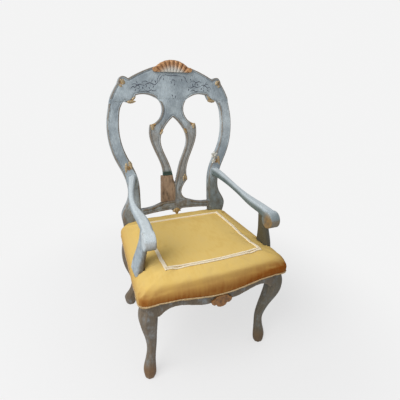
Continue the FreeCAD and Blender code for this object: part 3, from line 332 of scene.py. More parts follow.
def bump_out(mesh: bpy.types.Mesh, pairs: np.ndarray, rounds: int, scale: float) -> np.ndarray:
    """Measure how far each vertex stands proud of its surroundings.

    Args:
        mesh: mesh to read.
        pairs: edge ends.
        rounds: reach of the comparison in edges.
        scale: height in metres that counts as 1.
    Returns:
        n numbers, above 0 on edges and below 0 in hollows.
    """
    places = coords(mesh)
    flat = places.copy()
    for _ in range(rounds):
        flat = averaged(flat, pairs)
    return np.clip(((places - flat) * normals(mesh)).sum(1) / scale, -1.0, 1.0)


def add_piece(name: str, mesh: bpy.types.Mesh, slot: str, look: bpy.types.Material,
              stands_for: Sequence[str] = ()) -> bpy.types.Object:
    """Place a finished mesh on the chair's body.

    Args:
        name: piece name.
        mesh: its mesh in chair coordinates.
        slot: name of the material slot, only written to the log.
        look: material.
        stands_for: CAD nodes that it replaces.
    Returns:
        The new object.
    """
    made = linked(name, mesh)
    mesh.name = name
    mesh.materials.clear()
    mesh.materials.append(look)
    mesh.shade_smooth()
    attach(made, "root")
    if stands_for:
        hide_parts(*stands_for)
    log.info("%s: %d faces, %s", name, len(mesh.polygons), slot)
    return made


def through(points: Sequence[Sequence[float]], step: float, closed: bool = False) -> np.ndarray:
    """Draw a smooth line through points.

    Args:
        points: places it passes.
        step: distance between the samples.
        closed: whether it returns to its start.
    Returns:
        Even samples along the line.
    """
    base = np.asarray(points, float)
    count = len(base)
    dense = []
    for index in range(count if closed else count - 1):
        around = [(index + k) % count if closed else min(max(index + k, 0), count - 1)
                  for k in (-1, 0, 1, 2)]
        a, b, c, d = (base[k] for k in around)
        for part in np.linspace(0.0, 1.0, 24, endpoint=False):
            dense.append(0.5 * (2 * b + (c - a) * part + (2 * a - 5 * b + 4 * c - d) * part ** 2
                                + (3 * b - a - 3 * c + d) * part ** 3))
    dense.append(base[0] if closed else base[-1])
    line = np.array(dense)
    run = np.concatenate([[0.0], np.cumsum(np.linalg.norm(np.diff(line, axis=0), axis=1))])
    marks = np.linspace(0.0, run[-1], max(int(run[-1] / step), 3) + 1)
    even = np.stack([np.interp(marks, run, line[:, k]) for k in range(line.shape[1])], -1)
    return even[:-1] if closed else even


def from_axes(x: Vector, y: Vector, z: Vector, place: Vector) -> Matrix:
    """Make the matrix with these axes and this origin."""
    rows = [(*axes, shift) for axes, shift in zip(zip(x, y, z), place)]
    return Matrix((*rows, (0.0, 0.0, 0.0, 1.0)))


@dataclass(frozen=True)
class BackPlane:
    """The raked plane of the back's front face."""

    hinge: Vector = Vector((0.0, 0.1885, 0.5))
    rake: float = math.radians(8.5)

    @property
    def front(self) -> Vector:
        """Direction that the back's front faces."""
        return Vector((0.0, -math.cos(self.rake), math.sin(self.rake)))

    @property
    def up(self) -> Vector:
        """Direction up the rake."""
        return Vector((0.0, math.sin(self.rake), math.cos(self.rake)))

    def point(self, out: float, rise: float, depth: float = 0.0) -> Vector:
        """Find a place on the back.

        Args:
            out: distance to the right as seen from the front, in mm.
            rise: distance up the rake from the seat, in mm.
            depth: distance behind the front face, in mm.
        Returns:
            Place in metres.
        """
        return (self.hinge + Vector((out * MM, 0.0, 0.0)) + self.up * rise * MM
                - self.front * depth * MM)

    def on(self, skin: BVHTree, out: float, rise: float) -> Optional[Vector]:
        """Drop a place in mm onto the carved front, or give None where the back is open."""
        return skin.ray_cast(self.point(out, rise, -80.0), -self.front, 0.125)[0]

    def turned(self, place: Vector, turn: float, mirror: float = 1.0) -> Matrix:
        """Make a local frame with Z out of the front.

        Args:
            place: origin in metres.
            turn: turn of local Y from straight up, in degrees, clockwise from the front.
            mirror: 1 or -1 for the other hand.
        Returns:
            Matrix from local to chair coordinates.
        """
        side = Vector((1.0, 0.0, 0.0)) * mirror
        angle = math.radians(turn)
        along = self.up * math.cos(angle) + side * math.sin(angle)
        across = side * math.cos(angle) - self.up * math.sin(angle)
        return from_axes(across, along, self.front, place)


BACK = BackPlane()


# ---------------------------------------------------------------- shaders


class Shade:
    """Short calls for placing and joining shader nodes in one tree."""

    def __init__(self, tree: bpy.types.NodeTree) -> None:
        """Keep the node tree to fill."""
        self.tree = tree

    def fill(self, node: bpy.types.Node, inputs: dict) -> bpy.types.Node:
        """Join a node's inputs to sockets, or set their values.

        Args:
            node: node to fill.
            inputs: constants or output sockets by input name or number.
        Returns:
            The same node.
        """
        for key, value in inputs.items():
            if isinstance(value, bpy.types.NodeSocket):
                self.tree.links.new(value, node.inputs[key])
            else:
                node.inputs[key].default_value = value
        return node

    def add(self, kind: str, inputs: Optional[dict] = None, **settings: object) -> bpy.types.Node:
        """Place a node.

        Args:
            kind: node type without its prefix.
            inputs: constants or output sockets by input name or number.
            settings: node properties.
        Returns:
            The node.
        """
        node = self.tree.nodes.new("ShaderNode" + kind)
        for key, value in settings.items():
            setattr(node, key, value)
        return self.fill(node, inputs or {})

    def math(self, operation: str, one: object, two: object, three: object = 0.0) -> bpy.types.NodeSocket:
        """Work out one number from numbers or sockets."""
        return self.add("Math", {0: one, 1: two, 2: three}, operation=operation).outputs[0]

    def times(self, one: object, two: object) -> bpy.types.NodeSocket:
        """Multiply two numbers or sockets."""
        return self.math("MULTIPLY", one, two)

    def plus(self, one: object, two: object) -> bpy.types.NodeSocket:
        """Add two numbers or sockets."""
        return self.math("ADD", one, two)

    def blend(self, share: object, one: object, two: object, how: str = "MIX") -> bpy.types.NodeSocket:
        """Mix two colours by the share of the second."""
        return self.add("Mix", {0: share, 6: one, 7: two}, data_type="RGBA", blend_type=how,
                        clamp_factor=True).outputs[2]

    def span(self, value: object, low: float, high: float,
             start: float = 0.0, end: float = 1.0) -> bpy.types.NodeSocket:
        """Ease a value from the range low to high into the range start to end."""
        return self.add("MapRange", {0: value, 1: low, 2: high, 3: start, 4: end},
                        interpolation_type="SMOOTHSTEP").outputs[0]

    def noise(self, place: object, scale: float, detail: float = 3.0,
              roughness: float = 0.55) -> bpy.types.NodeSocket:
        """Make cloudy noise with this many clouds per metre."""
        return self.add("TexNoise", {"Vector": place, "Scale": scale, "Detail": detail,
                                     "Roughness": roughness}).outputs["Fac"]

    def streaks(self, place: object, per_metre: Sequence[float], detail: float = 3.0,
                roughness: float = 0.55) -> bpy.types.NodeSocket:
        """Make noise with its own number of clouds per metre along each axis."""
        drawn = self.add("VectorMath", {0: place, 1: tuple(per_metre)}, operation="MULTIPLY").outputs[0]
        return self.noise(drawn, 1.0, detail, roughness)

    def attribute(self, name: str) -> bpy.types.NodeSocket:
        """Read a stored vertex number."""
        return self.add("Attribute", attribute_name=name).outputs["Fac"]

    def bump(self, height: object, strength: float, distance: float) -> bpy.types.NodeSocket:
        """Turn a height into a normal."""
        return self.add("Bump", {"Height": height, "Strength": strength,
                                 "Distance": distance}).outputs["Normal"]


class Kind(Enum):
    """Socket types of the shared groups."""

    NUMBER = "NodeSocketFloat"
    COLOUR = "NodeSocketColor"
    PLACE = "NodeSocketVector"


class Effects:
    """Shader groups that several finishes share."""

    def __init__(self) -> None:
        """Build every group once."""
        self.groups = {"wear": self.wear(), "grime": self.grime(), "paint": self.paint(),
                       "gilding": self.gilding(), "grain": self.grain(), "weave": self.weave()}

    @staticmethod
    def start(name: str, takes: dict[str, Kind], gives: dict[str, Kind]) -> tuple[
            Shade, bpy.types.NodeOutputs, bpy.types.Node]:
        """Open a new group.

        Args:
            name: group name.
            takes, gives: input and output sockets.
        Returns:
            Shade helper, what the group takes and the node for what it gives.
        """
        tree = bpy.data.node_groups.new(name, "ShaderNodeTree")
        for way, sockets in (("INPUT", takes), ("OUTPUT", gives)):
            for label, kind in sockets.items():
                tree.interface.new_socket(name=label, in_out=way, socket_type=kind.value)
        given = tree.nodes.new("NodeGroupInput").outputs
        return Shade(tree), given, tree.nodes.new("NodeGroupOutput")

    def use(self, shade: Shade, name: str, inputs: dict) -> bpy.types.NodeOutputs:
        """Place a group in a material and give its outputs."""
        return shade.add("Group", inputs, node_tree=self.groups[name]).outputs

    def wear(self) -> bpy.types.NodeTree:
        """Rubbed edges: Place, Edge, Amount to Mask.

        Returns:
            Group.
        """
        shade, given, made = self.start(
            "edge_wear", {"Place": Kind.PLACE, "Edge": Kind.NUMBER, "Amount": Kind.NUMBER},
            {"Mask": Kind.NUMBER})
        patch = shade.noise(given["Place"], 45.0, 5.0, 0.65)
        lifted = shade.math("MULTIPLY_ADD", patch, 0.9, -0.45)
        raised = shade.times(given["Edge"], given["Amount"])
        shade.fill(made, {"Mask": shade.span(shade.plus(raised, lifted), 0.12, 0.62)})
        return shade.tree

    def grime(self) -> bpy.types.NodeTree:
        """Dirt in the hollows: Place, Edge to Mask.

        Returns:
            Group.
        """
        shade, given, made = self.start(
            "grime", {"Place": Kind.PLACE, "Edge": Kind.NUMBER}, {"Mask": Kind.NUMBER})
        cloud = shade.noise(given["Place"], 70.0, 4.0)
        sunk = shade.math("SUBTRACT", shade.times(cloud, 0.35), given["Edge"])
        shade.fill(made, {"Mask": shade.span(sunk, 0.22, 0.75)})
        return shade.tree

    def paint(self) -> bpy.types.NodeTree:
        """Old brushed paint: Place, Cool, Pale and four colours to Colour and Height.

        Returns:
            Group.
        """
        colours = {label: Kind.COLOUR for label in ("Light", "Dark", "Warm", "White")}
        shade, given, made = self.start(
            "brushed_paint",
            {"Place": Kind.PLACE, "Cool": Kind.NUMBER, "Pale": Kind.NUMBER, **colours},
            {"Colour": Kind.COLOUR, "Height": Kind.NUMBER})
        place = given["Place"]
        cloud = shade.noise(place, 11.0, 5.0, 0.6)
        patch = shade.streaks(place, (36.0, 36.0, 19.0), 5.0, 0.65)
        strokes = shade.streaks(place, (420.0, 420.0, 60.0))
        cool = shade.blend(shade.span(cloud, 0.32, 0.68), given["Dark"], given["Light"])
        mottled = shade.math("MULTIPLY_ADD", patch, 1.3, -0.65)
        share = shade.span(shade.plus(given["Cool"], mottled), 0.2, 0.8)
        body = shade.blend(share, given["Warm"], cool)
        # the Pale share, chalky paint and painted highlight, mixes toward White
        body = shade.blend(given["Pale"], body, given["White"])
        streak = shade.span(strokes, 0.3, 0.7, 0.8, 1.1)
        grey = shade.add("CombineColor", {0: streak, 1: streak, 2: streak}).outputs[0]
        toned = shade.blend(1.0, body, grey, "MULTIPLY")
        fleck = shade.span(shade.noise(place, 330.0, 2.0), 0.66, 0.74)
        shade.fill(made, {
            "Colour": shade.blend(shade.times(fleck, 0.5), toned, given["Warm"]),
            "Height": shade.math("SUBTRACT", strokes, shade.times(fleck, 0.6))})
        return shade.tree

    def gilding(self) -> bpy.types.NodeTree:
        """Rubbed water gilding: Place, Edge, Gold, Rub to Colour, Leaf and Height.

        Returns:
            Group.
        """
        shade, given, made = self.start(
            "rubbed_gilding", {"Place": Kind.PLACE, "Edge": Kind.NUMBER,
                               "Gold": Kind.COLOUR, "Rub": Kind.COLOUR},
            {"Colour": Kind.COLOUR, "Leaf": Kind.NUMBER, "Height": Kind.NUMBER})
        patch = shade.noise(given["Place"], 90.0, 5.0, 0.65)
        leaf = shade.span(shade.plus(patch, shade.times(given["Edge"], 0.35)), 0.34, 0.62)
        shade.fill(made, {"Colour": shade.blend(leaf, given["Rub"], given["Gold"]), "Leaf": leaf,
                          "Height": shade.noise(given["Place"], 380.0)})
        return shade.tree

    def grain(self) -> bpy.types.NodeTree:
        """Long wood grain along X: Place to Tone and Height.

        Returns:
            Group.
        """
        shade, given, made = self.start(
            "wood_grain", {"Place": Kind.PLACE}, {"Tone": Kind.NUMBER, "Height": Kind.NUMBER})
        fibre = shade.streaks(given["Place"], (14.0, 190.0, 190.0), 5.0, 0.7)
        rings = shade.streaks(given["Place"], (3.0, 46.0, 46.0))
        both = shade.plus(shade.times(fibre, 0.5), shade.times(rings, 0.5))
        shade.fill(made, {"Tone": shade.span(both, 0.32, 0.68), "Height": fibre})
        return shade.tree

    def weave(self) -> bpy.types.NodeTree:
        """Plain weave: Place, Pitch to Thread.

        Returns:
            Group.
        """
        shade, given, made = self.start(
            "plain_weave", {"Place": Kind.PLACE, "Pitch": Kind.NUMBER}, {"Thread": Kind.NUMBER})
        warp, weft = (shade.add("TexWave", {
            "Vector": given["Place"], "Scale": given["Pitch"], "Distortion": 0.6, "Detail": 1.0},
            bands_direction=axis).outputs["Fac"] for axis in ("X", "Y"))
        shade.fill(made, {"Thread": shade.times(warp, weft)})
        return shade.tree


def open_material(name: str) -> tuple[bpy.types.Material, Shade, bpy.types.Node, bpy.types.NodeSocket]:
    """Start a material.

    Args:
        name: material name.
    Returns:
        Material, helper, its Principled node and its object coordinates.
    """
    look = bpy.data.materials.new(name)
    look.use_nodes = True
    shade = Shade(look.node_tree)
    place = shade.add("TexCoord").outputs["Object"]
    return look, shade, look.node_tree.nodes["Principled BSDF"], place


@dataclass(frozen=True)
class PaintedWood:
    """Blue-grey paint, brown where it is rubbed, with gilt and bare places by attribute; the pale share
    also carries painted highlight and the band share painted shade.
    """

    light: Colour = linear(173, 185, 191)
    dark: Colour = linear(131, 142, 149)
    warm: Colour = linear(104, 92, 76)
    # chalky paint, also the colour of painted highlight
    white: Colour = linear(204, 213, 216)
    worn: Colour = linear(116, 101, 82)
    dirt: Colour = linear(50, 46, 42)
    gold: Colour = linear(172, 136, 84)
    rub: Colour = linear(118, 92, 62)
    wood: Colour = linear(104, 78, 54)
    # dark green of the repair's band, also used for painted shade
    band: Colour = linear(48, 68, 60)

    def make(self, effects: Effects) -> bpy.types.Material:
        """Build the material.

        Args:
            effects: shared groups.
        Returns:
            Material.
        """
        look, shade, body, place = open_material("painted_wood")
        edge, gilt_share = shade.attribute("edge"), shade.attribute("gilt")
        paint = effects.use(shade, "paint", {
            "Place": place, "Cool": shade.attribute("cool"), "Pale": shade.attribute("pale"),
            "Light": self.light, "Dark": self.dark, "Warm": self.warm, "White": self.white})
        wear = effects.use(shade, "wear", {"Place": place, "Edge": edge, "Amount": 0.85})["Mask"]
        grime = effects.use(shade, "grime", {"Place": place, "Edge": edge})["Mask"]
        gilt = effects.use(shade, "gilding", {
            "Place": place, "Edge": edge, "Gold": self.gold, "Rub": self.rub})
        grain = effects.use(shade, "grain", {"Place": place})
        rubbed = shade.times(wear, 0.8)
        colour = paint["Colour"]
        for share, over in (
                (rubbed, self.worn),
                (shade.attribute("bare"), shade.blend(grain["Tone"], self.rub, self.wood)),
                (gilt_share, gilt["Colour"]),
                # repair band and painted shade, both in the dark band colour
                (shade.attribute("band"), self.band),
                (shade.times(grime, 0.65), self.dirt)):
            colour = shade.blend(share, colour, over)
        height = shade.math("SUBTRACT", paint["Height"], rubbed)
        shade.fill(body, {
            "Base Color": colour,
            "Metallic": shade.times(shade.times(gilt_share, gilt["Leaf"]), 0.35),
            "Roughness": shade.span(paint["Height"], 0.2, 0.8, 0.46, 0.62),
            "Normal": shade.bump(height, 0.35, 0.0006), "Specular IOR Level": 0.35})
        return look


@dataclass(frozen=True)
class Gilding:
    """Worn gold leaf over brown bole, fading to paint by attribute."""

    name: str = "gilded_wood"
    gold: Colour = linear(186, 142, 98)
    rub: Colour = linear(142, 100, 68)
    dirt: Colour = linear(64, 48, 32)
    paint: Colour = linear(182, 184, 178)

    def make(self, effects: Effects) -> bpy.types.Material:
        """Build the material.

        Args:
            effects: shared groups.
        Returns:
            Material.
        """
        look, shade, body, place = open_material(self.name)
        edge, fade = shade.attribute("edge"), shade.attribute("fade")
        gilt = effects.use(shade, "gilding", {
            "Place": place, "Edge": edge, "Gold": self.gold, "Rub": self.rub})
        grime = effects.use(shade, "grime", {"Place": place, "Edge": edge})["Mask"]
        colour = shade.blend(fade, gilt["Colour"], self.paint)
        dirt = shade.times(grime, shade.span(fade, 0.0, 1.0, 0.85, 0.25))
        shade.fill(body, {
            "Base Color": shade.blend(dirt, colour, self.dirt),
            "Metallic": shade.times(gilt["Leaf"], shade.span(fade, 0.0, 1.0, 0.3, 0.0)),
            "Roughness": shade.span(gilt["Height"], 0.3, 0.7, 0.4, 0.55),
            "Normal": shade.bump(gilt["Height"], 0.3, 0.0005), "Specular IOR Level": 0.4})
        return look


@dataclass(frozen=True)
class BareWood:
    """Unpainted brown wood with dusty grain."""

    name: str
    early: Colour
    late: Colour
    upright: bool = False
    dirt: Colour = linear(58, 48, 38)

    def make(self, effects: Effects) -> bpy.types.Material:
        """Build the material.

        Args:
            effects: shared groups.
        Returns:
            Material.
        """
        look, shade, body, place = open_material(self.name)
        if self.upright:
            axes = shade.add("SeparateXYZ", {0: place}).outputs
            place = shade.add("CombineXYZ", {0: axes[2], 1: axes[1], 2: axes[0]}).outputs[0]
        grain = effects.use(shade, "grain", {"Place": place})
        stain = shade.span(shade.streaks(place, (16.0, 60.0, 60.0), 5.0, 0.65), 0.46, 0.66, 0.0, 0.7)
        colour = shade.blend(grain["Tone"], self.early, self.late)
        shade.fill(body, {
            "Base Color": shade.blend(stain, colour, self.dirt),
            "Roughness": shade.span(grain["Tone"], 0.0, 1.0, 0.72, 0.6),
            "Normal": shade.bump(grain["Height"], 0.4, 0.0005), "Specular IOR Level": 0.3})
        return look


@dataclass(frozen=True)
class Velvet:
    """Golden velvet, paler on top and browner low on the front: partly the brushed nap, partly painted
    shade.
    """

    light: Colour = linear(226, 197, 122)
    mid: Colour = linear(214, 180, 102)
    # brown of the lower front, nap colour and painted shade together
    low: Colour = linear(134, 72, 12)
    sheen: Colour = linear(250, 226, 150)

    def make(self, effects: Effects) -> bpy.types.Material:
        """Build the material.

        Args:
            effects: shared groups.
        Returns:
            Material.
        """
        look, shade, body, place = open_material("velvet")
        cloud = shade.streaks(place, (13.0, 7.15, 13.0), 4.0, 0.6)
        brush = shade.streaks(place, (95.0, 26.0, 14.0))
        pile = shade.noise(place, 1500.0, 2.0)
        weave = effects.use(shade, "weave", {"Place": place, "Pitch": 190.0})["Thread"]
        lie = shade.plus(shade.times(cloud, 0.6), shade.times(brush, 0.4))
        top = shade.blend(shade.span(lie, 0.3, 0.7), self.mid, self.light)
        # drop from the cushion: nap browning and painted shade low on the front and toward the right
        drop = shade.plus(shade.attribute("drop"), shade.span(lie, 0.3, 0.7, -0.12, 0.12))
        shade.fill(body, {
            "Base Color": shade.blend(drop, top, self.low),
            "Normal": shade.bump(shade.plus(pile, shade.times(weave, 0.4)), 0.3, 0.0005),
            "Roughness": shade.span(lie, 0.3, 0.7, 0.92, 0.8), "Specular IOR Level": 0.1,
            "Sheen Weight": 0.1, "Sheen Roughness": 0.45, "Sheen Tint": self.sheen})
        return look


@dataclass(frozen=True)
class Thread:
    """Spun thread or jute: braid, gimp, webbing or hessian."""

    name: str
    light: Colour
    dark: Colour
    pitch: float
    deep: float = 0.0006

    def make(self, effects: Effects) -> bpy.types.Material:
        """Build the material.

        Args:
            effects: shared groups.
        Returns:
            Material.
        """
        look, shade, body, place = open_material(self.name)
        weave = effects.use(shade, "weave", {"Place": place, "Pitch": self.pitch})["Thread"]
        stain = shade.span(shade.noise(place, 40.0, 4.0), 0.35, 0.7, 0.0, 0.6)
        thread = shade.blend(shade.span(weave, 0.05, 0.5), self.dark, self.light)
        shade.fill(body, {
            "Base Color": shade.blend(stain, thread, self.dark),
            "Normal": shade.bump(weave, 0.5, self.deep),
            "Roughness": shade.span(weave, 0.0, 0.6, 0.9, 0.72), "Specular IOR Level": 0.15})
        return look


@dataclass(frozen=True)
class BrushLine:
    """Thin violet-grey brush paint, rubbed in places."""

    ink: Colour = linear(52, 54, 68)
    faded: Colour = linear(98, 106, 116)

    def make(self, effects: Effects) -> bpy.types.Material:
        """Build the material.

        Args:
            effects: shared groups.
        Returns:
            Material.
        """
        look, shade, body, place = open_material("brush_line")
        thin = shade.span(shade.noise(place, 150.0, 4.0, 0.6), 0.4, 0.68)
        wear = effects.use(shade, "wear", {"Place": place, "Edge": thin, "Amount": 0.5})["Mask"]
        shade.fill(body, {
            "Base Color": shade.blend(thin, self.ink, self.faded),
            "Roughness": shade.span(wear, 0.0, 1.0, 0.5, 0.65),
            "Normal": shade.bump(thin, 0.2, 0.0003)})
        return look


# ---------------------------------------------------------------- pieces


@dataclass
class FrameZones:
    """The frame's vertices by part, side and facing, and the share of each paint, painted highlight and
    painted shade there.

    Heights are in metres, and shares run from 0 to 1. Each of the gilt spots has its place on
    the back and its reach, in mm.
    """

    places: np.ndarray
    face: np.ndarray
    names: np.ndarray
    spots: Sequence[tuple[float, float, float]] = (
        (208, 541, 14), (172, 468, 14), (90, 374, 15), (52, 345, 12), (205, 200, 13))

    def __post_init__(self) -> None:
        """Work out the measures that the shares have in common."""
        self.right = self.places[:, 0] > 0.0
        self.height = self.places[:, 2]
        self.upward = self.face[:, 2]
        self.outward = np.sign(self.places[:, 0]) * self.face[:, 0]
        self.stile, self.splat, self.leg, self.support = (
            self.of(name) for name in ("stile", "splat", "front_leg", "arm_support"))
        self.arm = self.of("arm") & ~self.support
        self.arm_end = smooth(self.places[:, 1], -0.17, -0.2)
        self.arm_under = self.arm * smooth(self.upward, 0.55, 0.1)
        self.left_end = self.arm * ~self.right * self.arm_end
        self.right_end = self.arm * self.right * self.arm_end

    def of(self, start: str) -> np.ndarray:
        """Tell which vertices belong to the parts whose names start so."""
        return np.char.startswith(self.names, start)

    def rises(self, low: float, high: float) -> np.ndarray:
        """Ease from 0 at one height to 1 at another."""
        return smooth(self.height, low, high)

    def cool(self) -> np.ndarray:
        """Blue-grey paint over the brown ground, kept low on the right support as painted shade.

        Returns:
            Share at each vertex.
        """
        share = np.full(len(self.places), 0.95)
        # painted shade: less blue-grey on the right support; both supports are browner on their inward
        # faces
        support = (np.where(self.right, 0.08, 0.3)
                   + np.where(self.right, 0.3, 0.5) * smooth(self.outward, -0.25, 0.5))
        for zone, values in (
                (self.stile, 0.26 + 0.3 * self.rises(0.4, 0.5) + 0.38 * self.rises(0.56, 0.72)),
                (self.splat, 0.42 + 0.5 * self.rises(0.82, 0.95)),
                (self.of("lower"), 0.46),
                (self.support, support),
                (self.leg | self.of("front_rail") | self.of("side"), 0.26)):
            share = np.where(zone, values, share)
        return share

    def pale(self) -> np.ndarray:
        """Rubbed, chalky paint on the splat and the right stile, and painted highlight on the upward
        faces of the arms and on the left arm's front end.

        Returns:
            Share at each vertex.
        """
        # painted highlight: the arm tops lighten where they face up, less so toward the right arm's front
        # end
        top = np.where(self.right, 0.7 - 0.5 * self.arm_end, 0.8)
        share = np.where(self.arm, smooth(self.upward, 0.35, 0.8) * top, 0.0)
        share = np.maximum(share, self.left_end * smooth(self.upward, -0.5, 0.1) * 0.85)
        splat = 0.26 * self.rises(0.92, 0.82) * self.rises(0.58, 0.68)
        stile = self.right * 0.3 * self.rises(0.74, 0.84) * self.rises(1.0, 0.94)
        return np.where(self.splat, splat, np.where(self.stile, stile, share))

    def gilt(self) -> np.ndarray:
        """Gilding under the arm ends and in spots on the back.

        Returns:
            Share at each vertex.
        """
        share = (self.arm_under * self.arm_end * self.rises(0.63, 0.6)
                 * smooth(-self.outward, -0.35, 0.2) * np.where(self.right, 0.9, 0.3))
        for out, rise, reach in self.spots:
            for side, _ in SIDES:
                spot = np.array(BACK.point(side * out, rise, 4.0))
                gap = np.linalg.norm(self.places - spot, axis=1) / MM
                share = np.maximum(share, smooth(gap, reach, reach * 0.55))
        return share

    def bare(self) -> np.ndarray:
        """Wood without paint at the toes and heels."""
        return np.maximum(self.leg * self.rises(0.085, 0.04),
                          self.stile * self.rises(0.3, 0.05) * 0.15)

    def knot(self) -> np.ndarray:
        """The dark band over the splat's repair."""
        rise = (self.height - BACK.hinge.z) / math.cos(BACK.rake) / MM
        return self.splat * smooth(self.places[:, 0], -0.004, -0.01) * smooth(rise, 174.0, 166.0)

    def shadow(self) -> np.ndarray:
        """Painted shade under the arms, on the arm ends, and on the right support, front leg and lower
        stile.

        Returns:
            Share at each vertex.
        """
        inner = smooth(-self.outward, 0.1, 0.6)
        ahead = -self.face[:, 1] + 0.6 * self.face[:, 0]
        return np.maximum.reduce((
            self.arm_under * np.where(self.right, 0.25 + 0.45 * inner * (1.0 - self.arm_end),
                                      0.1 + 0.4 * inner),
            self.right_end * smooth(ahead, 0.1, 0.6) * 0.42,
            self.left_end * smooth(self.upward, -0.25, -0.7) * 0.6,
            self.right * (self.support * 0.4 + self.leg * 0.26
                          + self.stile * 0.34 * self.rises(0.645, 0.6) * self.rises(0.3, 0.4))))

    def wear(self) -> np.ndarray:
        """Strength of worn edges and dirt."""
        return np.where(self.of("arm"), 0.35, np.where(self.leg, 1.1, 1.0))


@dataclass(frozen=True)
class Moulding:
    """A bead with a hollow beside it; heights, distances and widths in mm."""

    bead: float
    bead_at: float
    bead_wide: float
    hollow: float
    hollow_at: float
    hollow_wide: float

    def height(self, gap: float) -> float:
        """Give the height in metres at a distance in mm from the edge, below 0 in the hollow."""
        return (self.bead * math.exp(-((gap - self.bead_at) / self.bead_wide) ** 2)
                - self.hollow * math.exp(-((gap - self.hollow_at) / self.hollow_wide) ** 2)) * MM


@dataclass
class CarvedFrame:
    """The painted wood, carved as one skin and split again by CAD part."""

    look: bpy.types.Material
    voxel: float = 0.0019
    skin: Optional[BVHTree] = None
    owners: list[str] = field(default_factory=lambda: list(FRAME_WOOD))
    seat_level: float = 0.46
    arm_level: float = 0.6
    front_facing: float = 0.6
    rim_facing: tuple[float, float] = (0.1, 0.45)
    sharp_angle: float = 0.55
    edge_step: float = 0.0012
    sample_step: float = 0.003
    joint_gap: float = 0.009
    board_edge: Moulding = Moulding(0.9, 3.2, 2.2, 1.3, 8.6, 2.9)
    upright_edge: Moulding = Moulding(0.7, 3.6, 2.0, 1.4, 8.0, 2.2)
    neck_forward: float = 5.0 * MM
    neck_rise: tuple[float, float] = (0.415, 0.468)
    crisp_share: float = 0.35
    round_share: float = 0.95
    tone_blur: int = 16
    filler_at: tuple[float, float, float] = (0.2302, -0.2742, 0.383)
    filler_size: tuple[float, float, float] = (0.021, 0.0126, 0.086)

    def parts(self, owner: np.ndarray, names: Sequence[str]) -> np.ndarray:
        """Tell which vertices belong to these parts."""
        return np.isin(owner, [self.owners.index(name) for name in names])

    @staticmethod
    def seams(owner: np.ndarray, pairs: np.ndarray) -> np.ndarray:
        """Mark the vertices along the joints.

        Args:
            owner: part number of each vertex.
            pairs: edge ends.
        Returns:
            One column with 1 at the joints.
        """
        marks = np.zeros((len(owner), 1))
        marks[pairs[owner[pairs[:, 0]] != owner[pairs[:, 1]]].ravel()] = 1.0
        return marks

    @staticmethod
    def spread(marks: np.ndarray, pairs: np.ndarray, rounds: int, gain: float,
               kept: float = 1.0) -> np.ndarray:
        """Let marks grow over their neighbours.

        Args:
            marks: one column of shares.
            pairs: edge ends.
            rounds: number of passes.
            gain, kept: growth and the share that each pass keeps.
        Returns:
            Grown marks.
        """
        for _ in range(rounds):
            marks = np.maximum(marks, np.minimum(averaged(marks, pairs) * gain, 1.0) * kept)
        return marks

    def samples(self, step: float) -> tuple[KDTree, np.ndarray]:
        """Scatter points over the CAD parts.

        Args:
            step: mean distance between points.
        Returns:
            Search tree and the part number of each point.
        """
        scatter = np.random.default_rng(7)
        clouds, marks = [], []
        for number, name in enumerate(self.owners):
            mesh = NODES[name].data
            mesh.calc_loop_triangles()
            corners = read(mesh.loop_triangles, "vertices", 3, np.int32)
            a, b, c = np.moveaxis(coords(mesh)[corners], 1, 0)
            area = np.linalg.norm(np.cross(b - a, c - a), axis=1) / 2
            row = np.repeat(np.arange(len(a)), np.ceil(area / step ** 2).astype(int) + 1)
            u, v = np.sqrt(scatter.random(len(row)))[:, None], scatter.random(len(row))[:, None]
            clouds.append(a[row] * (1 - u) + b[row] * u * (1 - v) + c[row] * u * v)
            marks.append(np.full(len(row), number))
        cloud = np.concatenate(clouds)
        return point_tree(cloud, range(len(cloud))), np.concatenate(marks)

    def front_edges(self, tree: KDTree, mark: np.ndarray) -> KDTree:
        """Find the outlines of the back's flat fronts.

        Args:
            tree, mark: points on the CAD parts and their numbers.
        Returns:
            Search tree of points along those outlines.
        """
        found = []
        for name in BOARDS:
            body = merged(name)
            number = self.owners.index(name)
            for edge in body.edges:
                if len(edge.link_faces) != 2 or edge.calc_face_angle(0.0) < self.sharp_angle:
                    continue
                if max(face.normal.dot(BACK.front) for face in edge.link_faces) < 0.75:
                    continue
                start, end = (vert.co for vert in edge.verts)
                if min(start.z, end.z) < self.seat_level:
                    continue
                step = self.edge_step / max(edge.calc_length(), self.edge_step)
                for part in np.arange(0.0, 1.0, step):
                    place = start.lerp(end, part)
                    if all(mark[hit[1]] == number for hit in tree.find_range(place, self.joint_gap)):
                        found.append(place.copy())
            body.free()
        return point_tree(found, range(len(found)))

    def bead(self, mesh: bpy.types.Mesh, owner: np.ndarray, outline: KDTree) -> None:
        """Carve a moulding along the outlines of the boards and uprights.

        Args:
            mesh: skin to change.
            owner: part number of each vertex.
            outline: points along the boards' outlines.
        """
        places = coords(mesh)
        facing = normals(mesh) @ np.array(BACK.front)
        front = self.parts(owner, BOARDS) & (facing > self.front_facing)
        front &= places[:, 2] > self.seat_level
        move = np.zeros(len(places))
        for index in np.flatnonzero(front):
            move[index] = self.board_edge.height(outline.find(places[index])[2] / MM)
        upright = np.where(self.parts(owner, UPRIGHTS) & (places[:, 2] > self.arm_level), facing, -1.0)
        low, high = self.rim_facing
        rim = np.flatnonzero((upright > low) & (upright < high))
        rounded = point_tree(places[rim], rim.tolist())
        fade = smooth(places[:, 2], 0.7, 0.76) * smooth(places[:, 2], 1.04, 1.0)
        for index in np.flatnonzero(upright > self.front_facing):
            gap = rounded.find(places[index])[2] / MM
            move[index] += self.upright_edge.height(gap) * fade[index]
        set_coords(mesh, places + np.array(BACK.front) * move[:, None])

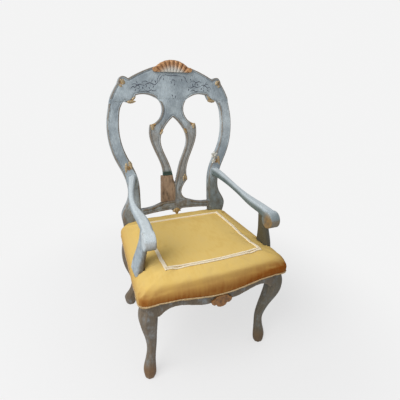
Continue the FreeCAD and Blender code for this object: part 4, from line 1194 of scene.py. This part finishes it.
    def paint_masks(self, mesh: bpy.types.Mesh, owner: np.ndarray, pairs: np.ndarray) -> None:
        """Store the rubbed, gilt, bare, pale and banded places; the pale share also holds painted
        highlight and the band share painted shade.

        Args:
            mesh: skin to mark.
            owner: part number of each vertex.
            pairs: edge ends.
        """
        zones = FrameZones(coords(mesh), normals(mesh), np.array(self.owners)[owner])
        knot = zones.knot()
        # painted shade from zones.shadow joins the repair band before blurring
        toned = np.stack([zones.cool(), zones.pale(), np.maximum(knot, zones.shadow())], -1)
        for _ in range(self.tone_blur):
            toned = averaged(toned, pairs)
        cool, pale, shadow = toned.T
        joint = self.spread(self.seams(owner, pairs), pairs, 5, 2.5)[:, 0]
        wear = zones.wear() * np.where(zones.height > 0.5, 1.0 - joint, 1.0)
        for name, values in (
                ("edge", bump_out(mesh, pairs, 14, 0.0018) * wear), ("cool", cool), ("pale", pale),
                ("gilt", zones.gilt()), ("bare", zones.bare()), ("band", np.maximum(knot, shadow))):
            put(mesh, name, values)

    def split(self, mesh: bpy.types.Mesh, owner: np.ndarray) -> None:
        """Cut the skin into one closed piece per CAD part.

        Args:
            mesh: finished skin.
            owner: part number of each vertex.
        """
        for name in self.owners:
            mesh.materials.append(bpy.data.materials.new("part_" + name))
        corner = read(mesh.polygons, "loop_start", 1, np.int32)[:, 0]
        loops = read(mesh.loops, "vertex_index", 1, np.int32)[:, 0]
        mesh.polygons.foreach_set("material_index", owner[loops[corner]].astype(np.int32))
        holder = linked("whole", mesh)
        before = set(bpy.data.objects) - {holder}
        bpy.context.view_layer.objects.active = holder
        holder.select_set(True)
        bpy.ops.object.mode_set(mode="EDIT")
        bpy.ops.mesh.separate(type="MATERIAL")
        bpy.ops.object.mode_set(mode="OBJECT")
        for part in sorted(set(bpy.data.objects) - before, key=lambda one: one.name):
            name = part.data.materials[part.data.polygons[0].material_index].name.removeprefix("part_")
            body = bmesh.new()
            body.from_mesh(part.data)
            bmesh.ops.holes_fill(body, edges=[edge for edge in body.edges if edge.is_boundary], sides=0)
            bmesh.ops.triangulate(body, faces=[face for face in body.faces if len(face.verts) > 4])
            for face in body.faces:
                face.material_index = 0
            add_piece(name + "_carved", from_bmesh(body), "painted_wood", self.look, (name,))
            bpy.data.objects.remove(part)
        for name in self.owners:
            bpy.data.materials.remove(bpy.data.materials["part_" + name])

    def with_fillers(self) -> bpy.types.Mesh:
        """Copy the parts and fill the grooves where the apron runs into the knees.

        Returns:
            Mesh ready to remesh.
        """
        whole = bmesh.new()
        whole.from_mesh(joined_copy(self.owners))
        across, ahead, up = self.filler_at
        for side, _ in SIDES:
            place = Matrix.Translation((side * across, ahead, up))
            bmesh.ops.create_cube(
                whole, size=1.0, matrix=place @ Matrix.Diagonal((*self.filler_size, 1.0)))
        return stored(whole)

    def eased(self, mesh: bpy.types.Mesh, owner: np.ndarray, pairs: np.ndarray) -> None:
        """Bring the splat's neck forward to the crest and blend the joints.

        Args:
            mesh: skin to change.
            owner: part number of each vertex.
            pairs: edge ends.
        """
        places, face = coords(mesh), normals(mesh)
        front = np.array(BACK.front)
        rise = (places[:, 2] - BACK.hinge.z) / math.cos(BACK.rake)
        neck = self.parts(owner, ("splat",)) & (face @ front > 0.3)
        share = np.where(neck, smooth(rise, *self.neck_rise), 0.0)
        places += front * (share * self.neck_forward)[:, None]
        near = self.spread(self.seams(owner, pairs), pairs, 5, 3.0, 0.97)
        near *= (places[:, 2:] > 0.3)
        for _ in range(14):
            places = places + 0.5 * near * (averaged(places, pairs) - places)
        near = self.spread(near, pairs, 8, 3.0, 0.97)
        flat = near[:, 0] * smooth(face @ front, 0.8, 0.95) * (places[:, 2] > 0.5)
        for _ in range(60):
            depth = (averaged(places, pairs) - places) @ front
            places = places + front * (0.5 * flat * depth)[:, None]
        set_coords(mesh, places)

    def build(self) -> None:
        """Carve and split the whole frame."""
        mesh = voxelled(self.with_fillers(), self.voxel)
        tree, mark = self.samples(self.sample_step)
        owner = np.array([mark[tree.find(place)[1]] for place in coords(mesh)])
        pairs = edge_pairs(mesh)
        crisp = self.parts(owner, (*BOARDS, "front_rail"))
        share = np.where(crisp, self.crisp_share, self.round_share)
        set_coords(mesh, relaxed(coords(mesh), pairs, 16, share))
        self.eased(mesh, owner, pairs)
        self.bead(mesh, owner, self.front_edges(tree, mark))
        set_coords(mesh, relaxed(coords(mesh), pairs, 2, np.full(len(owner), 0.8)))
        self.paint_masks(mesh, owner, pairs)
        self.skin = tree_of(mesh)
        self.split(mesh, owner)


@dataclass(frozen=True)
class Leaf:
    """One carved leaf with its tip along its own Y axis; sizes in mm."""

    length: float
    width: float
    height: float = 6.0
    curl: float = 4.0
    sway: float = 0.0
    lobes: int = 4

    def add(self, body: bmesh.types.BMesh, place: Matrix) -> None:
        """Carve the leaf into a bmesh.

        Args:
            body: bmesh that receives it.
            place: matrix from leaf to chair coordinates.
        """
        grid = bmesh.ops.create_grid(body, x_segments=12, y_segments=20, size=0.5)
        for vert in grid["verts"]:
            across, along = vert.co.x * 2.0, vert.co.y + 0.5
            reach = math.sin(math.pi * (0.08 + 0.9 * along) ** 0.8) ** 0.75
            notch = 1.0 - 0.16 * (0.5 + 0.5 * math.cos(2 * math.pi * self.lobes * along))
            half = 0.5 * self.width * reach * notch
            rib = math.exp(-(across / 0.2) ** 2)
            vein = 0.5 + 0.5 * math.cos(2 * math.pi * self.lobes * (along - 0.35 * abs(across)))
            dome = (1.0 - across ** 2) * reach
            rise = self.height * (0.55 * dome + 0.25 * rib * reach + 0.2 * vein * dome)
            vert.co = Vector((across * half + self.sway * along ** 2, along * self.length,
                              rise + self.curl * along ** 2)) * MM
        shell = bmesh.ops.extrude_face_region(body, geom=list({
            face for vert in grid["verts"] for face in vert.link_faces}), use_keep_orig=True)
        under = [part for part in shell["geom"] if isinstance(part, bmesh.types.BMVert)]
        for vert in under:
            vert.co.z = -2.5 * MM
        bmesh.ops.transform(body, matrix=place, verts=grid["verts"] + under)


Spot = tuple[float, float, float, Leaf]


@dataclass
class BackCarvings:
    """Gilt leaves, a silvered rosette and a pendant on the back."""

    look: bpy.types.Material
    silver: bpy.types.Material
    skin: BVHTree
    leaves: Sequence[Spot] = (
        (197.0, 535.0, 40.0, Leaf(23.0, 16.0, 7.0, 3.0, 3.0)),
        (203.0, 532.0, 5.0, Leaf(20.0, 12.0, 6.0, 2.0, -4.0, 3)),
        (208.0, 524.0, 70.0, Leaf(15.0, 11.0, 5.0, 2.0, -3.0, 3)),
        (192.0, 466.0, -90.0, Leaf(34.0, 14.0, 6.0, 2.0, 2.0)),
        (172.0, 476.0, -62.0, Leaf(18.0, 11.0, 5.0, 2.0, 3.0, 3)),
        (92.0, 352.0, 4.0, Leaf(24.0, 14.0, 6.0, 2.0, 4.0)),
        (86.0, 362.0, 40.0, Leaf(15.0, 11.0, 5.0, 2.0, 0.0, 3)),
        (60.0, 333.0, -30.0, Leaf(18.0, 11.0, 5.0, 2.0, -3.0, 3)),
        (214.0, 222.0, 176.0, Leaf(42.0, 15.0, 5.0, 1.0, -2.0)))
    left_leaves: Sequence[Spot] = (
        (202.0, 228.0, 200.0, Leaf(34.0, 16.0, 6.0, 2.0, -3.0)),
        (201.0, 216.0, 222.0, Leaf(20.0, 11.0, 5.0, 2.0, -2.0, 3)))
    right_leaves: Sequence[Spot] = (
        (44.0, 150.0, 150.0, Leaf(30.0, 15.0, 6.0, 2.0, 3.0)),
        (41.0, 142.0, 190.0, Leaf(24.0, 11.0, 5.0, 2.0, -3.0, 3)))
    pendant: Sequence[Spot] = (
        (0.0, -4.0, 180.0, Leaf(30.0, 24.0, 8.0, 3.0)),
        (0.0, -4.0, 222.0, Leaf(25.0, 13.0, 6.0, 2.0, 3.0)),
        (0.0, -4.0, 138.0, Leaf(25.0, 13.0, 6.0, 2.0, -3.0)))

    def seat(self, out: float, rise: float, turn: float, reach: float, side: float) -> Optional[Matrix]:
        """Find how a carving lies on the wood.

        Args:
            out, rise: place on the back, in mm.
            turn: turn from straight up, in degrees.
            reach: length of the carving in mm.
            side: 1 or -1 for the hand.
        Returns:
            Matrix with Y along the wood, or None where the back is open.
        """
        place = BACK.on(self.skin, side * out, rise)
        if place is None:
            log.info("no wood under the carving at %.0f, %.0f", side * out, rise)
            return None
        angle = math.radians(turn)
        tip = BACK.on(self.skin, side * (out + reach * math.sin(angle)),
                      rise + reach * math.cos(angle))
        lean = Matrix.Identity(4)
        if tip is not None:
            lean[2][1] = min(max((tip - place).dot(BACK.front) / (reach * MM), -0.3), 0.8)
        return BACK.turned(place - BACK.front * MM, turn, side) @ lean

    def lay(self, name: str, spots: Sequence[Spot], side: float, fade: float) -> None:
        """Set leaves on the carved front as one piece.

        Args:
            name: piece name.
            spots: out, rise, turn and leaf of each.
            side: 1 or -1 for the hand.
            fade: share of paint over the gilding.
        """
        body = bmesh.new()
        for out, rise, turn, leaf in spots:
            seat = self.seat(out, rise, turn, leaf.length, side)
            if seat is not None:
                leaf.add(body, seat)
        self.finish(name, body, fade, self.look)

    def rosette(self, body: bmesh.types.BMesh, out: float, rise: float, petals: int, reach: float,
                inward: float) -> None:
        """Set a small flower on the carved front.

        Args:
            body: bmesh that receives it.
            out, rise: place on the back, in mm.
            petals: number of petals.
            reach: petal length in mm.
            inward: shift toward the middle in mm, so that it stands over the edge.
        """
        shift = Matrix.Translation((-inward * MM, 0.0, 0.0))
        for number in range(petals):
            seat = self.seat(out, rise, 360.0 * number / petals, reach, 1.0)
            if seat is None:
                return
            Leaf(reach, reach * 0.8, 6.0, 2.5, 0.0, 2).add(body, shift @ seat)
        bud = shift @ Matrix.Translation(seat.translation + BACK.front * 5.0 * MM)
        bmesh.ops.create_uvsphere(body, u_segments=16, v_segments=10, radius=reach * 0.26 * MM,
                                  matrix=bud)

    @staticmethod
    def finish(name: str, body: bmesh.types.BMesh, fade: float, look: bpy.types.Material) -> None:
        """Mark and place one carving.

        Args:
            name: piece name.
            body: its bmesh.
            fade: share of paint over the gilding.
            look: material.
        """
        mesh = from_bmesh(body)
        put(mesh, "edge", bump_out(mesh, edge_pairs(mesh), 3, 0.0009))
        put(mesh, "fade", np.full(len(mesh.vertices), fade))
        add_piece(name, mesh, "gilded_wood", look)

    def build(self) -> None:
        """Carve every ornament."""
        for side, label in SIDES:
            more = self.right_leaves if side > 0 else self.left_leaves
            self.lay("back_leaves_" + label, (*self.leaves, *more), side, 0.2)
        body = bmesh.new()
        self.rosette(body, 206.0, 226.0, 6, 18.0, 11.0)
        self.rosette(body, 196.0, 200.0, 5, 12.0, 6.0)
        self.finish("stile_rosette", body, 0.0, self.silver)
        self.lay("lower_rail_pendant", self.pendant, 1.0, 0.0)


@dataclass
class CrestShell:
    """The ribbed gilt shell on the crest."""

    look: bpy.types.Material
    hub_height: float = 1.019

    def build(self) -> None:
        """Soften the CAD shell and gild its rim."""
        mesh = softened("crest_shell", 0.0011, 8)
        places = coords(mesh)
        rim = np.hypot(places[:, 0], places[:, 2] - self.hub_height)
        put(mesh, "edge", bump_out(mesh, edge_pairs(mesh), 16, 0.0022) * 0.7)
        put(mesh, "fade", smooth(rim, 0.089, 0.064) * 0.85)
        add_piece("crest_shell_carved", mesh, "gilded_wood", self.look, ("crest_shell",))


@dataclass
class ApronLeaf:
    """The carved leaf in the middle of the front rail."""

    look: bpy.types.Material

    def build(self) -> None:
        """Soften the CAD leaf and mark its edges."""
        mesh = softened("apron_leaf", 0.0012, 8)
        put(mesh, "edge", bump_out(mesh, edge_pairs(mesh), 14, 0.0016))
        put(mesh, "fade", np.zeros(len(mesh.vertices)))
        add_piece("apron_leaf_carved", mesh, "gilded_wood", self.look, ("apron_leaf",))


@dataclass
class Brushwork:
    """Thin painted scrolls, commas and dots on the crest."""

    look: bpy.types.Material
    skin: BVHTree
    strokes: Sequence[tuple[float, Sequence[tuple[float, float]]]] = (
        (2.6, ((-176, 515), (-168, 524), (-158, 522), (-150, 529), (-136, 533), (-121, 528))),
        (2.2, ((-170, 531), (-160, 535), (-148, 531), (-139, 524), (-143, 517), (-151, 519))),
        (2.4, ((-121, 528), (-108, 536), (-94, 539), (-78, 532), (-66, 540), (-60, 550))),
        (2.0, ((-130, 538), (-122, 545), (-110, 545), (-104, 540))),
        (2.2, ((-120, 513), (-106, 507), (-92, 512), (-80, 508), (-70, 514))),
        (2.0, ((-66, 546), (-63, 556), (-58, 566), (-50, 573))),
        (2.0, ((-57, 544), (-53, 556), (-45, 566))),
        (1.8, ((-46, 566), (-30, 570), (-10, 567), (12, 569), (32, 567), (48, 562))),
        (2.2, ((176, 515), (168, 525), (160, 521), (150, 528), (138, 533), (122, 527))),
        (2.2, ((166, 533), (154, 536), (143, 530), (137, 522), (143, 516))),
        (2.4, ((122, 527), (108, 522), (96, 528), (80, 520), (68, 526))),
        (2.0, ((130, 541), (120, 547), (106, 543), (92, 549), (78, 543))),
        (2.2, ((116, 511), (104, 506), (92, 512), (78, 507))),
        (2.0, ((66, 540), (60, 550), (54, 562), (44, 568))),
        (2.2, ((-4, 548), (0, 552), (7, 551), (11, 546), (8, 541))))
    ticks: Sequence[tuple[float, float, float]] = (
        (-158, 512, 20), (-150, 540, -25), (-140, 511, 30), (-128, 520, -20), (-112, 527, 25),
        (-100, 519, -30), (-88, 547, 15), (-84, 524, 20), (-74, 544, -20), (-40, 554, 10),
        (160, 510, -20), (151, 541, 25), (140, 510, -30), (128, 517, 20), (112, 534, -25),
        (100, 537, 30), (88, 533, -15), (80, 553, -20), (70, 514, 20), (40, 552, -10),
        (8, 535, 10), (-6, 542, -30), (10, 486, 20), (-4, 490, -20))
    spread: float = 1.9
    crown: float = 0.45
    sunk_edge: float = -0.15
    tick_width: float = 2.6
    tick_reach: float = 5.0
    thick: float = 0.0005

    def stroke(self, body: bmesh.types.BMesh, width: float,
               points: Sequence[tuple[float, float]]) -> None:
        """Lay one tapered stroke on the crest.

        Args:
            body: bmesh that receives it.
            width: widest place in mm.
            points: places on the back in mm.
        """
        line = through(points, 1.6)
        aim = np.gradient(line, axis=0)
        side = np.stack([-aim[:, 1], aim[:, 0]], -1) / np.linalg.norm(aim, axis=1)[:, None]
        count = len(line)
        grid = bmesh.ops.create_grid(body, x_segments=count - 1, y_segments=2, size=0.5)
        lost = []
        for vert in grid["verts"]:
            index = min(int(round((vert.co.x + 0.5) * (count - 1))), count - 1)
            taper = math.sin(math.pi * (0.06 + 0.88 * index / (count - 1))) ** 0.7
            out, rise = line[index] + side[index] * vert.co.y * self.spread * width * taper
            place = BACK.on(self.skin, out, rise)
            if place is None:
                lost.append(vert)
                continue
            lift = self.crown if abs(vert.co.y) < 0.1 else self.sunk_edge
            vert.co = place + BACK.front * lift * MM
        bmesh.ops.delete(body, geom=lost, context="VERTS")

    def build(self) -> None:
        """Paint every stroke as one thin skin."""
        body = bmesh.new()
        for width, points in self.strokes:
            self.stroke(body, width, points)
        for out, rise, lean in self.ticks:
            angle = math.radians(lean)
            reach = Vector((math.sin(angle), math.cos(angle))) * self.tick_reach
            bend = Vector((reach.y, -reach.x)) * 0.25
            self.stroke(body, self.tick_width, (
                (out - reach.x, rise - reach.y), (out + bend.x, rise + bend.y),
                (out + reach.x, rise + reach.y)))
        bmesh.ops.solidify(body, geom=list(body.faces), thickness=self.thick)
        add_piece("crest_brushwork", from_bmesh(body), "painted_wood", self.look)


@dataclass
class SeatCushion:
    """The velvet seat: filled, drawn round the posts and pleated at the front corners."""

    look: bpy.types.Material
    voxel: float = 0.006
    most: float = 0.005
    pressure: float = 4.0
    frames: int = 20
    free_from: float = 0.43
    fill_rise: tuple[float, float] = (0.41, 0.462)
    reach: float = 0.011
    touch: float = 0.006
    clearance: float = 0.0008
    pleats: Sequence[tuple[float, float]] = ((22.0, 1.0), (42.0, 1.8), (60.0, 1.0))
    pleat_wide: float = 4.5

    def filled(self, mesh: bpy.types.Mesh) -> None:
        """Blow the cover up over its filling.

        Args:
            mesh: cover to change.
        """
        start = coords(mesh)
        holder = linked("cover", mesh)
        low = (start[:, 2] < self.free_from) | (normals(mesh)[:, 2] < -0.3)
        pins = holder.vertex_groups.new(name="held")
        pins.add(np.flatnonzero(low).tolist(), 1.0, "REPLACE")
        cloth = holder.modifiers.new("filling", "CLOTH")
        cloth.settings.use_pressure = True
        cloth.settings.uniform_pressure_force = self.pressure
        cloth.settings.vertex_group_mass = "held"
        cloth.settings.effector_weights.gravity = 0.0
        cloth.point_cache.frame_start = 1
        cloth.point_cache.frame_end = self.frames
        for step in range(self.frames):
            bpy.context.scene.frame_set(step + 1)
        moved = coords(evaluated(holder)) - start
        far = np.linalg.norm(moved, axis=1)
        share = np.minimum(1.0, self.most / np.maximum(far, 1e-9))
        moved *= (share * smooth(start[:, 2], *self.fill_rise))[:, None]
        bpy.data.objects.remove(holder)
        bpy.context.scene.frame_set(1)
        set_coords(mesh, start + moved)
        log.info("filling moved the cover by up to %.1f mm", min(far.max(), self.most) / MM)

    def drawn_in(self, mesh: bpy.types.Mesh) -> None:
        """Draw the cover in round the wooden posts.

        Args:
            mesh: cover to change.
        """
        posts = tree_of(joined_copy(("arm_support_left", "arm_support_right", *UPRIGHTS)))
        places = coords(mesh)
        for index in np.flatnonzero(places[:, 2] >= self.free_from):
            place = Vector(places[index])
            foot, outward, _, gap = posts.find_nearest(place, self.reach)
            if foot is None or gap <= MERGE_GAP or (place - foot).dot(outward) <= 0.0:
                continue
            share = float(smooth(np.array(gap), self.reach, self.touch))
            pull = share * max(gap - self.clearance, 0.0)
            places[index] += np.array((foot - place).normalized()) * pull
        set_coords(mesh, places)

    def pleated(self, mesh: bpy.types.Mesh) -> None:
        """Fold the cover at the front corners.

        Args:
            mesh: cover to change.
        """
        places, face = coords(mesh), normals(mesh)
        bend = np.degrees(np.arctan2(np.abs(face[:, 0]), -face[:, 1]))
        corner = smooth(np.abs(places[:, 0]), 0.235, 0.262) * smooth(places[:, 1], -0.225, -0.25)
        fold = sum(depth * np.exp(-((bend - angle) / self.pleat_wide) ** 2)
                   for angle, depth in self.pleats)
        fade = smooth(places[:, 2], 0.456, 0.42) * smooth(np.abs(face[:, 2]), 0.75, 0.5)
        set_coords(mesh, places - face * (fold * corner * fade)[:, None] * MM)

    def build(self) -> bpy.types.Object:
        """Make the cushion.

        Returns:
            The finished object.
        """
        mesh = softened("seat_cushion", self.voxel, 3, 0.8)
        self.filled(mesh)
        mesh = modified(mesh, "SUBSURF", levels=1, render_levels=1)
        self.drawn_in(mesh)
        self.pleated(mesh)
        places, face = coords(mesh), normals(mesh)
        # drop: nap browning and painted shade, darker on faces turned from up and low down; painted shade
        # toward the front-right and the right side
        low = 0.42 * smooth(face[:, 2], 0.99, 0.35) + 0.62 * smooth(places[:, 2], 0.482, 0.41)
        ahead = 0.45 + 0.55 * smooth(np.maximum(face[:, 0], 0.0) - face[:, 1], 0.0, 0.6)
        side = 0.86 + 0.36 * smooth(places[:, 0], 0.0, 0.27)
        put(mesh, "drop", np.clip(low * ahead * side, 0.0, 1.0))
        return add_piece("seat_cushion_velvet", mesh, "velvet", self.look, ("seat_cushion",))


@dataclass
class SeatTrim:
    """Corded braid on the seat and gimp along its lower edge."""

    braid: bpy.types.Material
    gimp: bpy.types.Material
    cushion: bpy.types.Object
    braid_cord: float = 0.0036
    braid_pitch: float = 0.011
    braid_lift: float = 0.54
    braid_rows: Sequence[float] = (0.0, 1.75)
    braid_half: float = 0.2
    gimp_cord: float = 0.0024
    gimp_pitch: float = 0.008
    gimp_lift: float = 0.5
    gimp_drop: float = 0.9
    facets: int = 18
    step: float = 0.0016
    braid_line: Sequence[tuple[float, float]] = (
        (-0.1865, -0.2275), (-0.181, -0.2315), (-0.12, -0.2375), (-0.06, -0.2415), (0.0, -0.243),
        (0.06, -0.2415), (0.12, -0.2375), (0.181, -0.2315), (0.1865, -0.2275), (0.185, -0.16),
        (0.181, -0.04), (0.1755, 0.112), (0.169, 0.1205), (0.08, 0.122), (-0.08, 0.122),
        (-0.169, 0.1205), (-0.1755, 0.112), (-0.181, -0.04), (-0.185, -0.16))
    gimp_middle: tuple[float, float, float] = (0.0, -0.304, 0.391)
    gimp_half: Sequence[tuple[float, float, float]] = (
        (0.046, -0.303, 0.393), (0.1, -0.303, 0.4015), (0.14, -0.3015, 0.4070),
        (0.176, -0.2995, 0.4075), (0.22, -0.2965, 0.4055), (0.257, -0.290, 0.402),
        (0.281, -0.2805, 0.4), (0.292, -0.264, 0.399), (0.284, -0.16, 0.399),
        (0.276, -0.05, 0.399), (0.268, 0.051, 0.399), (0.266, 0.12, 0.399), (0.262, 0.178, 0.4))

    @staticmethod
    def poly(dimensions: str, places: Sequence[Sequence[float]], closed: bool) -> bpy.types.Curve:
        """Make a curve with straight runs.

        Args:
            dimensions: "2D" or "3D".
            places: points along it.
            closed: whether it meets itself.
        Returns:
            Curve.
        """
        curve = bpy.data.curves.new("cord", "CURVE")
        curve.dimensions = dimensions
        run = curve.splines.new("POLY")
        run.points.add(len(places) - 1)
        for point, place in zip(run.points, places):
            point.co = (*place, 1.0)
        run.use_cyclic_u = closed
        return curve

    def cord(self, line: np.ndarray, radius: float, closed: bool, pitch: float) -> bpy.types.Mesh:
        """Twist a cord of three strands along a line.

        Args:
            line: places along it.
            radius: cord radius.
            closed: whether it meets itself.
            pitch: length of one turn.
        Returns:
            Mesh of the cord.
        """
        lobes = []
        for index in range(self.facets):
            turn = 2 * math.pi * index / self.facets
            reach = radius * (0.84 + 0.16 * math.cos(3 * turn))
            lobes.append((reach * math.cos(turn), reach * math.sin(turn), 0.0))
        section = linked("lobes", self.poly("2D", lobes, True))
        path = self.poly("3D", line, closed)
        step = float(np.linalg.norm(np.diff(line, axis=0), axis=1).mean())
        turns = max(round(len(line) * step / pitch), 1)
        for index, point in enumerate(path.splines[0].points):
            point.tilt = 2 * math.pi * turns * index / len(line)
        path.bevel_mode = "OBJECT"
        path.bevel_object = section
        path.use_fill_caps = not closed
        holder = linked("path", path)
        mesh = evaluated(holder)
        for spent in (holder, section):
            bpy.data.objects.remove(spent)
        return mesh

    @staticmethod
    def together(meshes: Sequence[bpy.types.Mesh]) -> bpy.types.Mesh:
        """Join meshes.

        Args:
            meshes: meshes to join.
        Returns:
            New mesh.
        """
        body = bmesh.new()
        for mesh in meshes:
            body.from_mesh(mesh)
        bmesh.ops.remove_doubles(body, verts=body.verts, dist=1e-6)
        return from_bmesh(body)

    def lay_braid(self, skin: BVHTree) -> None:
        """Lay two cords side by side round the top of the seat.

        Args:
            skin: search tree of the velvet.
        """
        line = through(self.braid_line, self.step, True)
        lift = Vector((0.0, 0.0, self.braid_lift * self.braid_cord))
        cords = []
        for inset in self.braid_rows:
            shrunk = line * (1.0 - inset * self.braid_cord / self.braid_half)
            laid = [skin.ray_cast(Vector((x, y, 0.6)), Vector((0, 0, -1)))[0] + lift for x, y in shrunk]
            cords.append(self.cord(np.array([tuple(place) for place in laid]),
                                   self.braid_cord, True, self.braid_pitch))
        add_piece("seat_braid_cords", self.together(cords), "braid", self.braid, ("seat_braid",))

    def lay_gimp(self, skin: BVHTree) -> None:
        """Lay two cords one above the other along the lower edge.

        Args:
            skin: search tree of the velvet.
        """
        left = [(-x, y, z) for x, y, z in reversed(self.gimp_half)]
        line = through((*left, self.gimp_middle, *self.gimp_half), self.step)
        cords = []
        for drop in (-1.0, 1.0):
            shift = Vector((0.0, 0.0, drop * self.gimp_cord * self.gimp_drop))
            places = []
            for place in line:
                near = skin.find_nearest(Vector(place) + shift, 0.03)
                flat = Vector((near[1].x, near[1].y, 0.0)).normalized()
                places.append(tuple(near[0] + flat * self.gimp_cord * self.gimp_lift))
            cords.append(self.cord(np.array(places), self.gimp_cord, False, self.gimp_pitch))
        add_piece("seat_gimp_cords", self.together(cords), "braid", self.gimp, ("seat_gimp",))

    def build(self) -> None:
        """Lay the braid and the gimp on the velvet."""
        skin = tree_of(evaluated(self.cushion))
        self.lay_braid(skin)
        self.lay_gimp(skin)


@dataclass
class SeatUnderside:
    """Webbing, hessian, corner blocks, the rear rail and the splat's repair."""

    webbing: bpy.types.Material
    hessian: bpy.types.Material
    wood: bpy.types.Material
    splice: bpy.types.Material

    def strips(self, name: str, lengthwise: int) -> None:
        """Divide the webbing strips of one direction.

        Args:
            name: CAD node.
            lengthwise: axis number along the strips.
        """
        body = merged(name)
        for _ in range(2):
            long = [edge for edge in body.edges
                    if abs((edge.verts[0].co - edge.verts[1].co)[lengthwise]) > 0.02]
            bmesh.ops.subdivide_edges(body, edges=long, cuts=5, use_grid_fill=True)
        add_piece(name + "_jute", from_bmesh(body), "webbing", self.webbing, (name,))

    def build(self) -> None:
        """Make every piece below the cushion, and the repair."""
        for name in ("corner_block_front_left", "corner_block_front_right",
                     "corner_block_rear_left", "corner_block_rear_right", "rear_rail"):
            add_piece(name + "_planed", softened(name, 0.0022, 5), "frame_wood", self.wood, (name,))
        add_piece("splat_splice_repair", softened("splat_splice", 0.0014, 5), "bare_wood",
                  self.splice, ("splat_splice",))
        self.strips("webbing_front_to_back", 1)
        self.strips("webbing_side_to_side", 0)
        cloth = add_piece("hessian_cloth", joined_copy(("hessian",)), "hessian", self.hessian,
                          ("hessian",))


@dataclass
class Studio:
    """Camera, pale floor and soft light round the chair."""

    eye: Vector = Vector((-0.4554, -1.0656, 1.1489))
    forward: Vector = Vector((0.3775, 0.8278, -0.4151))
    right: Vector = Vector((0.9177, -0.3944, 0.0481))
    up: Vector = Vector((0.1238, 0.3991, 0.9085))
    focal_px: float = 319.92
    picture_px: float = 400.0
    sky: float = 0.5
    paper: float = 0.9
    key_watts: float = 84.0
    key_place: Vector = Vector((-2.05, -0.95, 2.75))
    key_size: float = 2.2
    floor_radius: float = 4.0
    floor_fade: tuple[float, float] = (0.5, 1.2)
    key_aim: Vector = Vector((0.0, 0.0, 0.55))

    def set_camera(self) -> None:
        """Put the camera where the photograph was taken from."""
        data = bpy.data.cameras.new("photo_camera")
        data.sensor_width = 36.0
        data.lens = self.focal_px / self.picture_px * data.sensor_width
        camera = linked("photo_camera", data)
        camera.matrix_world = from_axes(self.right, self.up, -self.forward, self.eye)
        bpy.context.scene.camera = camera

    def set_light(self) -> None:
        """Even sky light with a white backdrop, and one large lamp."""
        world = bpy.data.worlds.new("studio")
        bpy.context.scene.world = world
        world.use_nodes = True
        shade = Shade(world.node_tree)
        seen = shade.add("LightPath").outputs["Is Camera Ray"]
        shade.fill(world.node_tree.nodes["Background"], {"Color": shade.blend(
            seen, (self.sky, self.sky, self.sky * 1.02, 1.0), (self.paper, self.paper, self.paper, 1.0))})
        lamp = bpy.data.lights.new("key", "AREA")
        lamp.energy = self.key_watts
        lamp.size = self.key_size
        holder = linked("key", lamp)
        holder.location = self.key_place
        holder.rotation_euler = (self.key_aim - self.key_place).to_track_quat("-Z", "Y").to_euler()

    def set_floor(self) -> None:
        """Lay a pale floor that fades into the backdrop."""
        body = bmesh.new()
        bmesh.ops.create_circle(body, cap_ends=True, radius=self.floor_radius, segments=96)
        floor = linked("floor", stored(body))
        look, shade, principled, place = open_material("pale_floor")
        far = shade.add("VectorMath", {0: place}, operation="LENGTH").outputs["Value"]
        tone = shade.blend(shade.noise(place, 60.0), (0.80, 0.80, 0.80, 1.0), (0.83, 0.83, 0.83, 1.0))
        shade.fill(principled, {"Base Color": tone, "Roughness": 0.9, "Specular IOR Level": 0.05})
        glow = shade.add("Emission", {"Color": (self.paper, self.paper, self.paper, 1.0)})
        seen = shade.add("LightPath").outputs["Is Camera Ray"]
        share = shade.times(shade.span(far, *self.floor_fade, 0.68, 1.0), seen)
        mix = shade.add("MixShader", {0: share, 1: principled.outputs[0], 2: glow.outputs[0]})
        shade.fill(look.node_tree.nodes["Material Output"], {"Surface": mix.outputs[0]})
        floor.data.materials.append(look)

    def build(self) -> None:
        """Set up the picture."""
        bpy.context.scene.view_settings.view_transform = "Standard"
        self.set_camera()
        self.set_light()
        self.set_floor()


def main() -> None:
    """Build the scene."""
    effects = Effects()
    carved = CarvedFrame(PaintedWood().make(effects))
    carved.build()
    CrestShell(Gilding().make(effects)).build()
    brown = Gilding("brown_gilding", linear(150, 106, 62), linear(100, 70, 40))
    ApronLeaf(brown.make(effects)).build()
    silver = Gilding("silvered_wood", linear(204, 204, 196), linear(142, 136, 124), linear(78, 72, 62))
    olive = Gilding("leaf_gilding", linear(176, 148, 98), linear(106, 86, 56))
    BackCarvings(olive.make(effects), silver.make(effects), carved.skin).build()
    Brushwork(BrushLine().make(effects), carved.skin).build()
    cushion = SeatCushion(Velvet().make(effects)).build()
    SeatTrim(
        Thread("braid", linear(255, 249, 232), linear(232, 216, 184), 260.0).make(effects),
        Thread("gimp", linear(226, 204, 164), linear(180, 150, 106), 260.0).make(effects),
        cushion).build()
    SeatUnderside(
        Thread("webbing", linear(168, 140, 98), linear(112, 88, 56), 150.0).make(effects),
        Thread("hessian", linear(152, 126, 84), linear(98, 76, 46), 210.0).make(effects),
        BareWood("frame_wood", linear(150, 116, 78), linear(116, 84, 54)).make(effects),
        BareWood("bare_wood", linear(164, 140, 116), linear(112, 90, 72), True).make(effects)).build()
    Studio().build()


if __name__ == "__main__":
    logging.basicConfig(level=logging.INFO)
    main()
